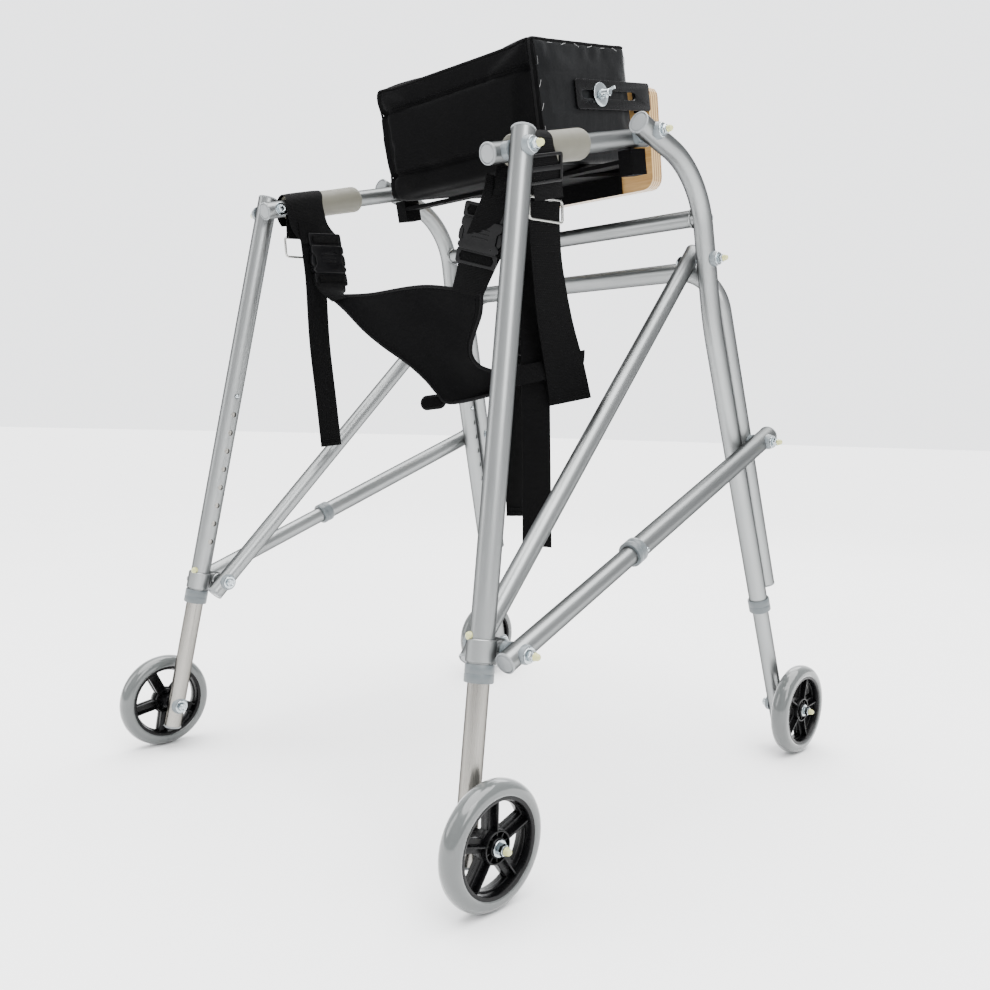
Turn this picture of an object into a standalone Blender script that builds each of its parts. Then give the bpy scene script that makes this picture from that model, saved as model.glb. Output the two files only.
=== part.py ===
"""Front wheeled walker: a four-wheeled folding walking frame with a chest pad and a sling seat.

Metres, +Z up. The user faces +Y and +X is the user's right. The origin is on the floor, midway
between the front and rear wheels. Every pivot of the fold turns about the X direction.
"""

import math

import bmesh
import bpy
from mathutils import Matrix, Vector

# ---- driving dimensions ------------------------------------------------------------------
LARGE_RADIUS = 0.0127        # 1 in tube: upper legs, U-frame, outer brace tubes
SMALL_RADIUS = 0.0111        # 7/8 in tube: leg extensions, rails, crossbar, inner brace tubes
WALL = 0.0012                # wall of every tube
TUBE_FACETS = 16
GAP = 0.0003                 # least clearance between pieces that touch

WHEEL_RADIUS = 0.0635        # 5 in wheel
TYRE_WIDTH = 0.0244
WHEEL_FACETS = 20
HUB_INNER = 0.0195           # from the wheel's middle to the hub's inner end
HALF_BASE = 0.32045          # half the distance between front and rear axles
REAR_WHEEL_OFFSET = 0.0343   # from the leg's line out to the wheel's middle
FRONT_WHEEL_OFFSET = 0.0335
HOLE_PITCH = 0.0254          # height adjustment step
HOLE_COUNT = 9
TOP_HOLE_Z = 0.492

BOLT_RADIUS = 0.003
BOLT_HOLE = 0.0036
AXLE_RADIUS = 0.0040
AXLE_HOLE = 0.0046
BUTTON_RADIUS = 0.0032
BUTTON_HOLE = 0.0038
RAIL_BOLT = (0.2720, 0.1935)       # outer and inner end of each bolt, from the middle plane
CLAMP_BOLT = (0.3320, 0.2340)
DIAGONAL_BOLT = (0.2710, 0.2270)
BRACE_BOLT = (0.3150, 0.2700)

# pivots of the fold, as (y, z)
RAIL_FRONT_PIVOT = (0.013, 0.8125)
RAIL_REAR_PIVOT = (-0.213, 0.7435)
DIAGONAL_PIVOT = (0.1447, 0.683)
BRACE_PIVOT = (0.2358, 0.448)
CLAMP_PIVOT = (-0.269, 0.237)
REAR_PIVOT_X = 0.2393              # of each leg's own line at its pivot
DIAGONAL_PIVOT_X = 0.2420
CROSSBAR_LEG_X = 0.2405

# lines of the tubes on the right-hand side
REAR_AXLE = Vector((0.2904, -HALF_BASE, WHEEL_RADIUS))
REAR_TOP = Vector((0.2377, -0.2073, 0.7642))
FRONT_AXLE = Vector((0.2834, HALF_BASE, WHEEL_RADIUS))
FRONT_KNEE = Vector((0.2445, 0.1615, 0.601))
FRONT_CORNER = Vector((0.2387, 0.1227, 0.7895))
FRONT_END = Vector((0.2391, -0.0093, 0.8185))
LEG_FOOT_Z = 0.215           # lower end of the upper leg tubes
FOOT_BELOW_AXLE = 0.029      # how far an extension reaches past its axle
INSERTION_Z = 0.520          # upper end of an extension, inside its leg

RAIL_X = 0.2096
RAIL_REAR = Vector((RAIL_X, -0.2294, 0.7389))
RAIL_FRONT = Vector((RAIL_X, 0.0440, 0.8202))
GRIP_RADIUS = 0.0175
GRIP_Y = (-0.195, -0.080)

CROSSBAR = (0.1330, 0.7355)  # (y, z) of the upper crossbar, on the front legs' line
U_TOP = (0.1702, 0.6755)     # (y, z) of the top of the U-frame
U_FOOT = Vector((0.2702, 0.2944, 0.245))
U_CORNER_RADIUS = 0.060

DIAGONAL_X = (0.2500, 0.2145)      # at the rear clamp, at the front leg
BRACE_X = (0.3050, 0.2835)         # at the rear clamp, at the U-frame
BRACE_COLLAR_AT = 0.211            # from the clamp pivot to the outer tube
BRACE_INNER_LENGTH = 0.300
BRACE_BUTTON_AT = 0.226
TUBE_PAST_PIVOT = 0.020

PAD_TILT = math.radians(13.3)
PAD_CENTRE = Vector((0.0, 0.011, 0.866))
PAD_SIZE = (0.2856, 0.198, 0.152)
BOARD_TILT = math.radians(9.5)
BOARD_CENTRE = Vector((0.0, 0.1600, 0.861))
BOARD_SIZE = (0.286, 0.023, 0.136)
SLOT = (0.0246, 0.097)             # from the pad's centre, along its depth
BRACKET_HEIGHT = 0.0105            # of the bracket's middle over the pad's centre
CARRIER_WIDTH = 0.184
CLAMP_BLOCK = (0.020, 0.028)       # block under each rail, along X and along the pad's depth
CLAMP_BLOCK_CENTRE = (0.020, 0.7843)
CLAMP_BLOCK_HEIGHT = 0.030

SEAT_THICKNESS = 0.0035
STRAP_THICKNESS = 0.0030

SIDES = (("left", -1), ("right", 1))


# ---- scene, materials and small helpers -----------------------------------------------------
def clear_scene():
    for obj in list(bpy.data.objects):
        bpy.data.objects.remove(obj)


def collection(name, hidden=False):
    made = bpy.data.collections.new(name)
    made.hide_render = hidden
    bpy.context.scene.collection.children.link(made)
    return made


def material(name, colour, roughness, metallic=0.0):
    made = bpy.data.materials.new(name)
    made.use_nodes = True
    shader = made.node_tree.nodes["Principled BSDF"]
    shader.inputs["Base Color"].default_value = (*colour, 1.0)
    shader.inputs["Roughness"].default_value = roughness
    shader.inputs["Metallic"].default_value = metallic
    return made


def sided(point, side):
    """The point on the left or right: side is -1 or 1."""
    return Vector((side * point[0], point[1], point[2]))


def line_at(start, end, z):
    """The point at height z on the line from start to end."""
    return start.lerp(end, (z - start.z) / (end.z - start.z))


def tilted(tilt):
    """A turn about X that lifts the front."""
    return Matrix.Rotation(tilt, 4, "X")


def along(direction):
    """A turn that takes +Z to the direction."""
    return Vector(direction).to_track_quat("Z", "Y").to_matrix().to_4x4()


def add_mesh(name, mesh, paint, matrix=None, home=None):
    obj = bpy.data.objects.new(name, mesh)
    if matrix is not None:
        obj.matrix_world = matrix
    if paint is not None:
        mesh.materials.append(paint)
    (home or PARTS).objects.link(obj)
    return obj


def smooth(obj, angle=40):
    obj.data.shade_smooth()
    obj.data.set_sharp_from_angle(angle=math.radians(angle))
    return obj


def fillet(before, corner, after, radius, steps):
    """The points of an arc that rounds the corner of a path."""
    back = (before - corner).normalized()
    ahead = (after - corner).normalized()
    half = back.angle(ahead) / 2
    reach = radius / math.tan(half)
    start = corner + back * reach
    centre = corner + (back + ahead).normalized() * (radius / math.sin(half))
    spoke = start - centre
    turn = math.pi - 2 * half
    axis = spoke.cross(corner + ahead * reach - centre)
    points = []
    for i in range(steps + 1):
        points.append(centre + Matrix.Rotation(turn * i / steps, 3, axis) @ spoke)
    return points


def rounded(corners, radii, steps):
    """A path through the corners, with each inner corner rounded to its radius."""
    path = [corners[0]]
    for i, radius in enumerate(radii):
        path += fillet(corners[i], corners[i + 1], corners[i + 2], radius, steps[i])
    return path + [corners[-1]]


def swept(name, path, radius, facets, capped):
    """A round sweep along the path, as a mesh: closed at its ends, or an open skin."""
    data = bpy.data.curves.new(name + "_path", "CURVE")
    data.dimensions = "3D"
    data.bevel_depth = radius
    data.bevel_resolution = (facets - 4) // 2
    data.use_fill_caps = capped
    spline = data.splines.new("POLY")
    spline.points.add(len(path) - 1)
    for point, place in zip(spline.points, path):
        point.co = (*place, 1.0)
    guide = bpy.data.objects.new(name + "_guide", data)
    bpy.context.scene.collection.objects.link(guide)
    graph = bpy.context.evaluated_depsgraph_get()
    mesh = bpy.data.meshes.new_from_object(guide.evaluated_get(graph))
    bpy.data.objects.remove(guide)
    mesh.name = name
    work = bmesh.new()
    work.from_mesh(mesh)
    bmesh.ops.remove_doubles(work, verts=work.verts, dist=1e-6)
    work.to_mesh(mesh)
    work.free()
    return mesh


def tube(name, path, radius, paint, facets=TUBE_FACETS):
    """A hollow tube, open at both ends."""
    obj = add_mesh(name, swept(name, path, radius, facets, False), paint)
    skin = obj.modifiers.new("wall", "SOLIDIFY")
    skin.thickness = WALL
    skin.offset = -1.0
    skin.use_even_offset = True
    return smooth(obj)


def rod_mesh(name, spans, facets=16):
    """Cylinders from point to point in one mesh; each span is (start, end, radius)."""
    work = bmesh.new()
    for start, end, radius in spans:
        run = end - start
        place = Matrix.Translation((start + end) / 2) @ along(run)
        bmesh.ops.create_cone(
            work, cap_ends=True, segments=facets, radius1=radius, radius2=radius,
            depth=run.length, matrix=place,
        )
    mesh = bpy.data.meshes.new(name)
    work.to_mesh(mesh)
    work.free()
    return mesh


def cut(obj, cutter_mesh, matrix=None):
    """Takes the cutter's shape out of the object."""
    cutter = add_mesh(cutter_mesh.name, cutter_mesh, None, matrix, CUTTERS)
    cutter.display_type = "WIRE"
    cutter.hide_render = True
    change = obj.modifiers.new(cutter_mesh.name, "BOOLEAN")
    change.operation = "DIFFERENCE"
    change.object = cutter


def join(obj, other_mesh, matrix=None):
    """Makes the other shape part of the object's own solid."""
    other = add_mesh(other_mesh.name, other_mesh, None, matrix, CUTTERS)
    other.display_type = "WIRE"
    other.hide_render = True
    change = obj.modifiers.new(other_mesh.name, "BOOLEAN")
    change.operation = "UNION"
    change.object = other


def drill(obj, name, points, radius, reach, facets=8):
    """Holes along X through the points, each as long as twice the reach."""
    half = Vector((reach, 0, 0))
    spans = [(point - half, point + half, radius) for point in points]
    cut(obj, rod_mesh(name, spans, facets))


def block_mesh(name, size, centre=(0, 0, 0), turn=None, edge=0.0):
    """A box, with its edges rounded where edge is given."""
    work = bmesh.new()
    bmesh.ops.create_cube(work, size=1.0, matrix=Matrix.Diagonal((*size, 1.0)))
    if edge:
        bmesh.ops.bevel(
            work, geom=work.edges[:], offset=edge, segments=2, affect="EDGES", profile=0.5
        )
    bmesh.ops.transform(
        work, matrix=Matrix.Translation(centre) @ (turn or Matrix()), verts=work.verts
    )
    mesh = bpy.data.meshes.new(name)
    work.to_mesh(mesh)
    work.free()
    return mesh


def plate_mesh(name, outline, thickness):
    """A flat outline in XY, given a thickness along Z."""
    data = bpy.data.curves.new(name + "_outline", "CURVE")
    data.dimensions = "2D"
    data.fill_mode = "BOTH"
    data.extrude = thickness / 2
    spline = data.splines.new("POLY")
    spline.points.add(len(outline) - 1)
    for point, place in zip(spline.points, outline):
        point.co = (place[0], place[1], 0.0, 1.0)
    spline.use_cyclic_u = True
    guide = bpy.data.objects.new(name + "_guide", data)
    bpy.context.scene.collection.objects.link(guide)
    graph = bpy.context.evaluated_depsgraph_get()
    mesh = bpy.data.meshes.new_from_object(guide.evaluated_get(graph))
    bpy.data.objects.remove(guide)
    mesh.name = name
    work = bmesh.new()
    work.from_mesh(mesh)
    bmesh.ops.remove_doubles(work, verts=work.verts, dist=1e-6)
    bmesh.ops.recalc_face_normals(work, faces=work.faces)
    work.to_mesh(mesh)
    work.free()
    return mesh


def arc(centre, radius, start, end, steps):
    """Points of a flat arc; the angles are in degrees."""
    points = []
    for i in range(steps + 1):
        angle = math.radians(start + (end - start) * i / steps)
        points.append((centre[0] + radius * math.cos(angle),
                       centre[1] + radius * math.sin(angle)))
    return points


def rounded_box_outline(width, height, radius, steps=4):
    """A rectangle with round corners."""
    x = width / 2 - radius
    y = height / 2 - radius
    points = []
    for centre, start in (((x, y), 0), ((-x, y), 90), ((-x, -y), 180), ((x, -y), 270)):
        points += arc(centre, radius, start, start + 90, steps)
    return points


def turned(name, profile, place, direction, paint, steps=24):
    """A turned solid. The profile is (radius, height) from top to bottom on the outside."""
    mesh = bpy.data.meshes.new(name)
    count = len(profile)
    points = [(radius, 0.0, height) for radius, height in profile]
    closed = profile[0][0] > 0 and profile[-1][0] > 0
    edges = [(i, i + 1) for i in range(count - 1)]
    if closed:
        edges.append((count - 1, 0))
    mesh.from_pydata(points, edges, [])
    obj = add_mesh(name, mesh, paint, Matrix.Translation(place) @ along(direction))
    spin = obj.modifiers.new("turn", "SCREW")
    spin.steps = steps
    spin.render_steps = steps
    spin.use_merge_vertices = True
    spin.merge_threshold = 1e-5
    spin.use_smooth_shade = True
    return obj


def band_mesh(name, sections, thickness, across, between, sag=0.0):
    """A strip of cloth. Each section is its two edge points; rows between them are smooth."""
    rows = []
    last = len(sections) - 1
    for i in range(last * between + 1):
        k = min(i // between, last - 1)
        t = i / between - k
        row = []
        for edge in (0, 1):
            p0 = sections[max(k - 1, 0)][edge]
            p1 = sections[k][edge]
            p2 = sections[k + 1][edge]
            p3 = sections[min(k + 2, last)][edge]
            row.append(catmull(p0, p1, p2, p3, t))
        rows.append(row)
    work = bmesh.new()
    grid = []
    for index, (left, right) in enumerate(rows):
        line = []
        drop = sag * max(0.0, 1 - index / (2 * between))
        for j in range(across + 1):
            u = j / across
            point = left.lerp(right, u)
            point.z -= drop * 4 * u * (1 - u)
            line.append(work.verts.new(point))
        grid.append(line)
    for lower, upper in zip(grid, grid[1:]):
        for j in range(across):
            work.faces.new((lower[j], lower[j + 1], upper[j + 1], upper[j]))
    work.normal_update()
    bmesh.ops.solidify(work, geom=work.faces[:], thickness=thickness)
    bmesh.ops.recalc_face_normals(work, faces=work.faces)
    if work.calc_volume(signed=True) < 0:
        bmesh.ops.reverse_faces(work, faces=work.faces)
    mesh = bpy.data.meshes.new(name)
    work.to_mesh(mesh)
    work.free()
    return mesh


def catmull(p0, p1, p2, p3, t):
    """A point on the smooth curve from p1 to p2."""
    return 0.5 * (
        2 * p1 + (p2 - p0) * t
        + (2 * p0 - 5 * p1 + 4 * p2 - p3) * t ** 2
        + (3 * p1 - p0 - 3 * p2 + p3) * t ** 3
    )


# ---- fasteners and buttons --------------------------------------------------------------------
def bolt(name, x_tip, x_head, pivot, side, head_radius=0.0052, tip_radius=0.0052):
    """A bolt along X from its domed nut, outside, to its head, inside."""
    length = x_tip - x_head
    nut = 0.0125
    head = 0.0045
    profile = [
        (0.0, length), (tip_radius * 0.7, length - 0.001), (tip_radius * 0.9, length - 0.006),
        (tip_radius, length - 0.0065), (tip_radius, length - nut), (BOLT_RADIUS, length - nut),
        (BOLT_RADIUS, head), (head_radius, head), (head_radius, 0.0), (0.0, 0.0),
    ]
    place = sided((x_head, *pivot), side)
    return turned(name, profile, place, (side, 0, 0), ZINC, 8)


def stub_bolt(name, x_tip, x_end, pivot, side):
    """A bolt along X that stops at x_end, with its domed nut outside."""
    length = x_tip - x_end
    profile = [
        (0.0, length), (0.0037, length - 0.001), (0.0047, length - 0.006),
        (0.0052, length - 0.0065), (0.0052, length - 0.0125), (BOLT_RADIUS, length - 0.0125),
        (BOLT_RADIUS, 0.0), (0.0, 0.0),
    ]
    place = sided((x_end, *pivot), side)
    return turned(name, profile, place, (side, 0, 0), ZINC, 8)


def snap_button(name, centre, outward, outer_radius, inner_radius):
    """A sprung button: a dome through both walls, and its foot inside the inner tube."""
    bore = inner_radius - WALL
    foot = bore - 0.0021
    profile = [
        (0.0, outer_radius + 0.0036), (0.0018, outer_radius + 0.0033),
        (BUTTON_RADIUS, outer_radius + 0.0014), (BUTTON_RADIUS, foot),
        (0.0054, foot), (0.0054, foot - 0.0015), (0.0, foot - 0.0015),
    ]
    return turned(name, profile, centre, outward, ZINC, 8)


# ---- frame --------------------------------------------------------------------------------------
def drill_row(leg, start, end, side, name):
    """The row of adjustment holes, in the wall that faces the user."""
    points = []
    drop = HOLE_PITCH * (end - start).normalized().z
    for i in range(HOLE_COUNT):
        centre = line_at(start, end, TOP_HOLE_Z - drop * i)
        points.append(sided(centre - Vector((LARGE_RADIUS, 0, 0)), side))
    drill(leg, name, points, BUTTON_HOLE, 0.005)


def front_leg(label, side):
    foot = line_at(FRONT_AXLE, FRONT_KNEE, LEG_FOOT_Z)
    corners = [sided(p, side) for p in (foot, FRONT_KNEE, FRONT_CORNER, FRONT_END)]
    path = rounded(corners, (0.6, 0.105), (1, 6))
    leg = tube("front_leg_" + label, path, LARGE_RADIUS, ALUMINIUM)
    drill_row(leg, FRONT_AXLE, FRONT_KNEE, side, "front_holes_" + label)
    pivots = [
        sided((FRONT_END.x, *RAIL_FRONT_PIVOT), side),
        sided((DIAGONAL_PIVOT_X, *DIAGONAL_PIVOT), side),
    ]
    drill(leg, "front_pivot_holes_" + label, pivots, BOLT_HOLE, 0.020)
    return leg


def crossbar():
    reach = CROSSBAR_LEG_X - LARGE_RADIUS - GAP
    ends = [Vector((-reach, *CROSSBAR)), Vector((reach, *CROSSBAR))]
    return tube("upper_crossbar", ends, SMALL_RADIUS, ALUMINIUM)


def u_frame():
    top = Vector((0.2400, *U_TOP))
    corners = [sided(U_FOOT, -1), sided(top, -1), top, U_FOOT]
    radii = (U_CORNER_RADIUS, U_CORNER_RADIUS)
    frame = tube("u_frame", rounded(corners, radii, (5, 5)), LARGE_RADIUS, ALUMINIUM)
    x = line_at(U_FOOT, top, BRACE_PIVOT[1]).x
    holes = [sided((x, *BRACE_PIVOT), side) for _, side in SIDES]
    drill(frame, "u_frame_pivot_holes", holes, BOLT_HOLE, 0.020)
    return frame


def leg_collar(name, start, end, side):
    """The plastic collar at the foot of an upper leg."""
    top = sided(line_at(start, end, LEG_FOOT_Z + 0.010), side)
    foot = sided(line_at(start, end, LEG_FOOT_Z - 0.008), side)
    height = (top - foot).length
    step = 0.0075
    profile = [
        (0.0150, height), (0.0150, 0.0), (0.0117, 0.0), (0.0117, step), (0.0131, step),
        (0.0131, height),
    ]
    return turned(name, profile, foot, top - foot, COLLAR, TUBE_FACETS)


def extension(name, axle, top, side):
    """The lower leg tube, with its axle hole and its button hole."""
    low = axle + (axle - top).normalized() * FOOT_BELOW_AXLE
    high = line_at(axle, top, INSERTION_Z)
    obj = tube(name, [sided(low, side), sided(high, side)], SMALL_RADIUS, ALUMINIUM)
    drill(obj, name + "_axle_hole", [sided(axle, side)], AXLE_HOLE, 0.020)
    seat = line_at(axle, top, TOP_HOLE_Z) - Vector((SMALL_RADIUS, 0, 0))
    drill(obj, name + "_button_hole", [sided(seat, side)], BUTTON_HOLE, 0.005)
    return obj


def extension_button(name, axle, top, side):
    centre = line_at(axle, top, TOP_HOLE_Z)
    return snap_button(name, sided(centre, side), (-side, 0, 0), LARGE_RADIUS, SMALL_RADIUS)


# ---- wheels ---------------------------------------------------------------------------------------
def wheel_window(name):
    """The opening between two spokes, as a flat outline."""
    inner = arc((0, 0), 0.0165, 14, 58, 2)
    outer = arc((0, 0), 0.0430, 64, 8, 3)
    return plate_mesh(name, inner + outer, 0.030)


def wheel(name, axle, offset, side):
    """Tyre, rim, spokes and hub, moulded together, on the outer side of the leg."""
    edge = TYRE_WIDTH / 2
    rim = 0.0450
    shoulder = 0.0590
    web = 0.0035
    hub = 0.0110
    profile = [
        (hub, hub), (hub, web), (rim, web), (rim + 0.004, edge), (shoulder, edge),
        (WHEEL_RADIUS, 0.004), (WHEEL_RADIUS, -0.004), (shoulder, -edge), (rim + 0.004, -edge),
        (rim, -web), (hub, -web), (hub, -HUB_INNER), (AXLE_HOLE, -HUB_INNER), (AXLE_HOLE, hub),
    ]
    centre = sided((axle.x + offset, axle.y, axle.z), side)
    obj = turned(name, profile, centre, (side, 0, 0), BLACK_PLASTIC, WHEEL_FACETS)
    place = Matrix.Translation(centre) @ along((side, 0, 0))
    for i in range(5):
        turn = Matrix.Rotation(math.radians(72 * i), 4, "Z")
        cut(obj, wheel_window(f"{name}_window_{i}"), place @ turn)
    return obj


def axle_bolt(name, axle, offset, side):
    """The axle: its head inside the leg, its nut and cap outside the wheel."""
    head_x = axle.x - SMALL_RADIUS - 0.0058
    tip_x = axle.x + offset + 0.0352
    hub_x = axle.x + offset + 0.0115
    length = tip_x - head_x
    nut = hub_x - head_x
    profile = [
        (0.0, length), (0.0030, length), (0.0042, length - 0.002), (0.0042, nut + 0.0085),
        (0.0075, nut + 0.0085), (0.0075, nut), (AXLE_RADIUS, nut), (AXLE_RADIUS, 0.0052),
        (0.0072, 0.0052), (0.0072, 0.0), (0.0, 0.0),
    ]
    place = sided((head_x, axle.y, axle.z), side)
    return turned(name, profile, place, (side, 0, 0), ZINC, 8)


# ---- rear legs and braces -------------------------------------------------------------------------
def rear_leg(label, side):
    foot = line_at(REAR_AXLE, REAR_TOP, LEG_FOOT_Z)
    ends = [sided(foot, side), sided(REAR_TOP, side)]
    leg = tube("rear_leg_" + label, ends, LARGE_RADIUS, ALUMINIUM)
    drill_row(leg, REAR_AXLE, REAR_TOP, side, "rear_holes_" + label)
    pivot = sided((REAR_PIVOT_X, *RAIL_REAR_PIVOT), side)
    drill(leg, "rear_pivot_hole_" + label, [pivot], BOLT_HOLE, 0.020)
    return leg


def brace_clamp(label, side):
    """The saddle round the rear leg, with a lug that reaches forward to the brace pivot."""
    low = sided(line_at(REAR_AXLE, REAR_TOP, 0.2265), side)
    high = sided(line_at(REAR_AXLE, REAR_TOP, 0.2490), side)
    axis = high - low
    bore = LARGE_RADIUS + GAP
    profile = [(0.0151, axis.length), (0.0151, 0.0), (bore, 0.0), (bore, axis.length)]
    clamp = turned("brace_clamp_" + label, profile, low, axis, ALUMINIUM, TUBE_FACETS)
    centre = line_at(REAR_AXLE, REAR_TOP, CLAMP_PIVOT[1])
    near = centre.y + bore + 0.0012
    far = CLAMP_PIVOT[0] + 0.0095
    middle = sided((centre.x, (near + far) / 2, CLAMP_PIVOT[1]), side)
    join(clamp, block_mesh("lug_" + label, (0.0250, far - near, 0.0190), middle, edge=0.003))
    pivot = sided((centre.x, *CLAMP_PIVOT), side)
    drill(clamp, "clamp_hole_" + label, [pivot], BOLT_HOLE, 0.020)
    return clamp


def between_pivots(low_pivot, high_pivot, xs, side):
    """The two ends of a brace: its lower pivot and its upper one."""
    return sided((xs[0], *low_pivot), side), sided((xs[1], *high_pivot), side)


def diagonal_brace(label, side):
    low, high = between_pivots(CLAMP_PIVOT, DIAGONAL_PIVOT, DIAGONAL_X, side)
    run = (high - low).normalized() * TUBE_PAST_PIVOT
    brace = tube("diagonal_brace_" + label, [low - run, high + run], SMALL_RADIUS, ALUMINIUM)
    drill(brace, "diagonal_holes_" + label, [low, high], BOLT_HOLE, 0.020)
    return brace


def brace_line(side):
    low, high = between_pivots(CLAMP_PIVOT, BRACE_PIVOT, BRACE_X, side)
    return low, high, (high - low).normalized()


def brace_inner(label, side):
    low, _, run = brace_line(side)
    ends = [low - run * 0.019, low + run * BRACE_INNER_LENGTH]
    inner = tube("brace_inner_tube_" + label, ends, SMALL_RADIUS, ALUMINIUM)
    drill(inner, "brace_inner_hole_" + label, [low], BOLT_HOLE, 0.020)
    seat = low + run * BRACE_BUTTON_AT + Vector((side * SMALL_RADIUS, 0, 0))
    drill(inner, "brace_inner_button_hole_" + label, [seat], BUTTON_HOLE, 0.005)
    return inner


def brace_outer(label, side):
    low, high, run = brace_line(side)
    ends = [low + run * BRACE_COLLAR_AT, high + run * 0.022]
    outer = tube("brace_outer_tube_" + label, ends, LARGE_RADIUS, ALUMINIUM)
    drill(outer, "brace_outer_hole_" + label, [high], BOLT_HOLE, 0.020)
    seat = low + run * BRACE_BUTTON_AT + Vector((side * LARGE_RADIUS, 0, 0))
    drill(outer, "brace_outer_button_hole_" + label, [seat], BUTTON_HOLE, 0.005)
    return outer


def brace_button(label, side):
    low, _, run = brace_line(side)
    centre = low + run * BRACE_BUTTON_AT
    return snap_button("brace_button_" + label, centre, (side, 0, 0), LARGE_RADIUS, SMALL_RADIUS)


# ---- rails, grips and the pad's supports -----------------------------------------------------------
def handle_rail(label, side):
    rail = tube("handle_rail_" + label, [sided(RAIL_REAR, side), sided(RAIL_FRONT, side)],
                SMALL_RADIUS, ALUMINIUM)
    pivots = [sided((RAIL_X, *RAIL_FRONT_PIVOT), side), sided((RAIL_X, *RAIL_REAR_PIVOT), side)]
    drill(rail, "rail_holes_" + label, pivots, BOLT_HOLE, 0.020)
    return rail


def hand_grip(label, side):
    def on_rail(y):
        share = (y - RAIL_REAR.y) / (RAIL_FRONT.y - RAIL_REAR.y)
        return sided(RAIL_REAR.lerp(RAIL_FRONT, share), side)

    start = on_rail(GRIP_Y[0])
    run = on_rail(GRIP_Y[1]) - start
    length = run.length
    bore = SMALL_RADIUS + GAP
    profile = [
        (0.0142, length), (0.0170, length - 0.003), (GRIP_RADIUS, length - 0.008),
        (GRIP_RADIUS, 0.008), (0.0170, 0.003), (0.0142, 0.0), (bore, 0.0), (bore, length),
    ]
    return turned("hand_grip_" + label, profile, start, run, GRIP, TUBE_FACETS)


def pad_point(x, depth, height):
    """A point in the pad's own directions: across, along its depth and up its face."""
    return PAD_CENTRE + tilted(PAD_TILT).to_3x3() @ Vector((x, depth, height))


def backboard():
    outline = rounded_box_outline(BOARD_SIZE[0], BOARD_SIZE[2], 0.016)
    turn = tilted(BOARD_TILT) @ Matrix.Rotation(math.pi / 2, 4, "X")
    matrix = Matrix.Translation(BOARD_CENTRE) @ turn
    return smooth(add_mesh("backboard", plate_mesh("backboard", outline, BOARD_SIZE[1]),
                           PLYWOOD, matrix), 30)


def board_near_face(height):
    """The depth, in the pad's directions, of the board's near face at a height."""
    turn = tilted(BOARD_TILT).to_3x3()
    face = BOARD_CENTRE + turn @ Vector((0, -BOARD_SIZE[1] / 2, 0))
    local = tilted(-PAD_TILT).to_3x3() @ (face - PAD_CENTRE)
    slope = math.tan(BOARD_TILT - PAD_TILT)
    return local.y - slope * (height - local.z)


def pad_carrier():
    """A strap from rail to rail under the pad, with a tongue that holds the backboard."""
    under = -PAD_SIZE[2] / 2 - 0.0006
    strap_depth = CLAMP_BLOCK[1]
    block = Vector((0, CLAMP_BLOCK_CENTRE[0], CLAMP_BLOCK_CENTRE[1]))
    local = tilted(-PAD_TILT).to_3x3() @ (block - PAD_CENTRE)
    turn = tilted(PAD_TILT)
    strap = block_mesh("strap", (2 * RAIL_X + 0.016, strap_depth, 0.005),
                       pad_point(0, local.y, under - 0.0025), turn)
    carrier = add_mesh("pad_carrier", strap, BLACK_STEEL)
    face = board_near_face(-0.090) - GAP
    start = local.y + strap_depth / 2 - 0.004
    tongue = block_mesh("tongue", (CARRIER_WIDTH, face - 0.003 - start, 0.004),
                        pad_point(0, (face - 0.003 + start) / 2, under - 0.0024), turn)
    join(carrier, tongue)
    flange_turn = tilted(BOARD_TILT)
    flange_height = 0.036
    centre = BOARD_CENTRE + flange_turn.to_3x3() @ Vector(
        (0, -BOARD_SIZE[1] / 2 - GAP - 0.002, -BOARD_SIZE[2] / 2 + flange_height / 2)
    )
    join(carrier, block_mesh("flange", (CARRIER_WIDTH - 0.001, 0.004, flange_height), centre,
                             flange_turn))
    for label, side in SIDES:
        size = (CLAMP_BLOCK[0], CLAMP_BLOCK[1] + 0.0006, CLAMP_BLOCK_HEIGHT)
        join(carrier, block_mesh("clamp_block_" + label, size,
                                 sided((RAIL_X, *CLAMP_BLOCK_CENTRE), side), turn))
    return carrier


def pad_bracket(label, side):
    """The slotted plate beside the pad, turned in at its front end onto the backboard."""
    back = -0.0234
    front = board_near_face(BRACKET_HEIGHT) - 0.0012
    thickness = 0.003
    face = PAD_SIZE[0] / 2 + 0.0004 + thickness / 2
    outline = rounded_box_outline(front - back, 0.035, 0.004, 2)
    lift = Matrix.Rotation(math.pi / 2, 4, "Z") @ Matrix.Rotation(math.pi / 2, 4, "X")
    place = Matrix.Translation(pad_point(side * face, (front + back) / 2, BRACKET_HEIGHT))
    matrix = place @ tilted(PAD_TILT) @ lift
    plate = add_mesh("pad_bracket_" + label,
                     plate_mesh("pad_bracket_" + label, outline, thickness), BLACK_STEEL, matrix)
    flange = block_mesh(
        "bracket_flange_" + label, (0.026, thickness, 0.031),
        pad_point(side * (face + thickness / 2 - 0.013 - 0.0002), front - thickness / 2 - 0.0003,
                  BRACKET_HEIGHT), tilted(PAD_TILT))
    join(plate, flange)
    slot = rounded_box_outline(SLOT[1] - SLOT[0] + 0.010, 0.010, 0.00499, 4)
    slot_place = Matrix.Translation(pad_point(side * face, sum(SLOT) / 2, BRACKET_HEIGHT))
    cut(plate, plate_mesh("slot_" + label, slot, 0.012), slot_place @ tilted(PAD_TILT) @ lift)
    return plate


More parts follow.
